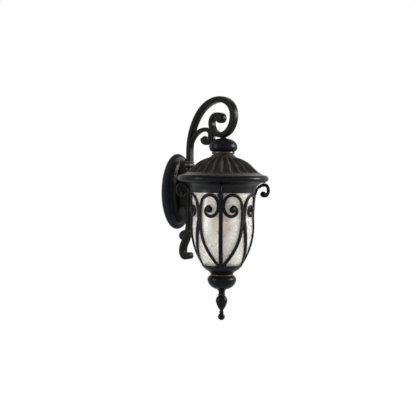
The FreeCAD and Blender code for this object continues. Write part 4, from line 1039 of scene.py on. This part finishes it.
envelope = lathe("bulb_envelope", [
    (0, -108), (30, -78, 0.414), (13.0, -38, 0.12), (12.4, -27),
    (11.6, -27), (12.2, -38), (29.2, -78, -0.12), (0, -107.2, -0.414),
], BULB_TOP, segments=96, closed=False)
dress(envelope, bulb_glass(), "frosted_bulb", "bulb")

# %% Bulb screw base
THREAD_PITCH = 3.6
THREAD_DEPTH = 0.5
BASE_RADIUS = 12.7
BASE_START, BASE_LENGTH = -27, 21
BASE_STEPS, BASE_SIDES = 70, 64
BASE_TIP = ((12.2, -5.6), (4.5, -3), (4.5, -0.4), (4.1, 0))
work = bmesh.new()
rings = []
for i in range(BASE_STEPS + 1):
    level = BASE_START + BASE_LENGTH * i / BASE_STEPS
    ring = circle(1, BULB_TOP + level * MM, BASE_SIDES)
    for j, spot in enumerate(ring):
        helix = math.sin(2 * math.pi * (level / THREAD_PITCH - j / BASE_SIDES))
        spot.xy = AXIS.xy + (spot.xy - AXIS.xy) * (BASE_RADIUS + THREAD_DEPTH * helix) * MM
    rings.append(ring)
rings += [circle(radius * MM, BULB_TOP + level * MM, BASE_SIDES) for radius, level in BASE_TIP]
skin(work, rings)
screw_base = to_object(work, "bulb_screw_base")
dress(screw_base, brass, "brass", "bulb")

# %% [markdown]
# ## Filament
# A glass post stands inside a zigzag of tungsten wire. A curve with a bevel could draw the wire, but a short
# function makes it a mesh like all the rest. It glows faintly, enough to warm the glass to the eye and not
# enough to light the lantern.

# %% Filament and its post
HEAT_MM = 5.0
HEAT = (4.0, 7.0)
SPOKES = 8
SPOKE_SWEEP = math.radians(300)
SPOKE_RADIUS = 9
SPOKE_LEVELS = (-92, -62)
WIRE_RADIUS = 0.45
POST = [(0, -96), (2.2, -95), (2.2, -50), (6, -36), (0, -30)]
POST_SIDES = 32


def tube(work, points, radius_mm, count=10):
    """A round wire along a few points."""
    rings = []
    for i, point in enumerate(points):
        way = (points[min(i + 1, len(points) - 1)] - points[max(i - 1, 0)]).normalized()
        side = way.orthogonal().normalized()
        other = way.cross(side)
        turns = [2 * math.pi * j / count for j in range(count)]
        rings.append([
            point + (side * math.cos(a) + other * math.sin(a)) * (radius_mm * MM) for a in turns
        ])
    skin(work, rings)


def glowing_tungsten():
    """Tungsten wire at a low orange heat."""
    material, tree, surface = new_material("glowing_tungsten")
    place = add(tree, "TexCoord").outputs["Object"]
    heat = add(tree, "TexNoise", {"Vector": place, "Scale": per_metre(HEAT_MM)})
    strength = add(tree, "MapRange", {"Value": heat.outputs["Fac"], "To Min": HEAT[0], "To Max": HEAT[1]})
    shader = add(tree, "BsdfPrincipled", {
        "Base Color": paint("#6B6258"), "Metallic": 1.0, "Roughness": 0.4,
        "Emission Color": paint("#FFC49C"), "Emission Strength": strength.outputs["Result"],
    })
    tree.links.new(shader.outputs["BSDF"], surface)
    return material


hub = AXIS + Vector((0, 0, BULB_TOP))
wire = []
for i in range(SPOKES + 1):
    angle = SPOKE_SWEEP * i / SPOKES
    across, along = SPOKE_RADIUS * math.cos(angle), SPOKE_RADIUS * math.sin(angle)
    wire.append(hub + Vector((across, along, SPOKE_LEVELS[i % 2])) * MM)
work = bmesh.new()
tube(work, wire, WIRE_RADIUS)
filament = to_object(work, "bulb_filament")
dress(filament, glowing_tungsten(), "frosted_bulb", "bulb")

work = bmesh.new()
skin(work, [circle(point.x, BULB_TOP + point.y, POST_SIDES) for point in outline(POST)])
post = to_object(work, "bulb_post")
dress(post, envelope.data.materials[0], "frosted_bulb", "bulb")

# %% [markdown]
# ## Stage and light
# A pale floor and a white world make the plain background of a catalogue photograph. The world is white
# only to the camera, to reflections and through glass, and dimmer as a light, so the castings keep their
# dark tone. High up it dims like a studio's ceiling, so that the roof stays dark. A picture of a studio
# could give the reflections, but lamps are easier to place: a soft box on the right, a tall strip on the
# left and a faint box above draw the highlights on the turned pieces.

# %% Floor
FLOOR_DROP = 0.25
FLOOR_HALF = 30.0
work = bmesh.new()
bmesh.ops.create_grid(work, x_segments=1, y_segments=1, size=FLOOR_HALF)
floor = to_object(work, "studio_floor")
floor.location = (AXIS.x, AXIS.y, CAD_BOX[0].z - FLOOR_DROP)


def seen_directly(tree):
    """1 for rays from the camera, off gloss and through glass, and 0 for light on matt surfaces."""
    path = add(tree, "LightPath")
    seen = add(tree, "Math", {
        0: path.outputs["Is Camera Ray"], 1: path.outputs["Is Glossy Ray"],
    }, operation="MAXIMUM")
    return add(tree, "Math", {
        0: seen.outputs[0], 1: path.outputs["Is Transmission Ray"],
    }, operation="MAXIMUM").outputs[0]


WHITE = paint("#FFFFFF")
SHADOW_SHARE = 0.15
SHADOW_REACH = (0.35, 1.1)
floor_material, tree, surface = new_material("white_paper_floor")
paper = add(tree, "BsdfDiffuse", {"Color": paint("#F2F2F2")})
glow = add(tree, "Emission", {"Color": WHITE, "Strength": 1.0})
distance = add(tree, "VectorMath", {0: add(tree, "TexCoord").outputs["Object"]}, operation="LENGTH")
fade = add(tree, "MapRange", {
    "Value": distance.outputs["Value"], "From Min": SHADOW_REACH[0], "From Max": SHADOW_REACH[1],
    "To Min": 1 - SHADOW_SHARE, "To Max": 1.0,
}, interpolation_type="SMOOTHSTEP")
share = add(
    tree, "Math", {0: seen_directly(tree), 1: fade.outputs["Result"]}, operation="MULTIPLY"
)
blend = add(tree, "MixShader", {0: share.outputs[0], 1: paper.outputs[0], 2: glow.outputs[0]})
tree.links.new(blend.outputs[0], surface)
floor.data.materials.append(floor_material)
print("floor at", round(floor.location.z, 3), "m")

# %% World
WORLD_FILL = 0.42
CEILING = (0.5, 0.9)  # the upward slants between which the backdrop turns into ceiling
CEILING_LEVEL = 0.25
world = bpy.data.worlds.new("studio")
world.use_nodes = True
bpy.context.scene.world = world
sky = world.node_tree
sky.nodes.clear()
height = add(sky, "SeparateXYZ", {0: add(sky, "TexCoord").outputs["Generated"]})
backdrop = add(sky, "MapRange", {
    "Value": height.outputs["Z"], "From Min": CEILING[0], "From Max": CEILING[1],
    "To Min": 1.0, "To Max": CEILING_LEVEL,
})
level = add(sky, "MapRange", {
    "Value": seen_directly(sky), "To Min": WORLD_FILL, "To Max": backdrop.outputs["Result"],
})
background = add(sky, "Background", {"Color": WHITE, "Strength": level.outputs["Result"]})
add(sky, "OutputWorld", {"Surface": background.outputs[0]})
print("world fill", WORLD_FILL, "under a ceiling at", CEILING_LEVEL)

# %% Lamps


def soft_lamp(name, aside, rise, ahead, width, height, power):
    """A soft box, placed from the lantern's middle by the camera's own right, up and back."""
    light = bpy.data.lights.new(name, "AREA")
    light.shape = "RECTANGLE"
    light.size, light.size_y = width, height
    light.energy = power
    lamp = bpy.data.objects.new(name, light)
    lamp.location = aim + level_right * aside + level_up * rise + view_back * ahead
    lamp.rotation_euler = (lamp.location - aim).to_track_quat("Z", "Y").to_euler()
    bpy.context.scene.collection.objects.link(lamp)
    print(name, power, "W")


soft_lamp("key_box", aside=1.78, rise=0.60, ahead=0.0, width=0.60, height=0.80, power=66)
soft_lamp("left_strip", aside=-1.6, rise=0.30, ahead=0.72, width=0.22, height=1.6, power=27)
soft_lamp("top_box", aside=0.1, rise=2.0, ahead=0.3, width=1.0, height=1.0, power=5)
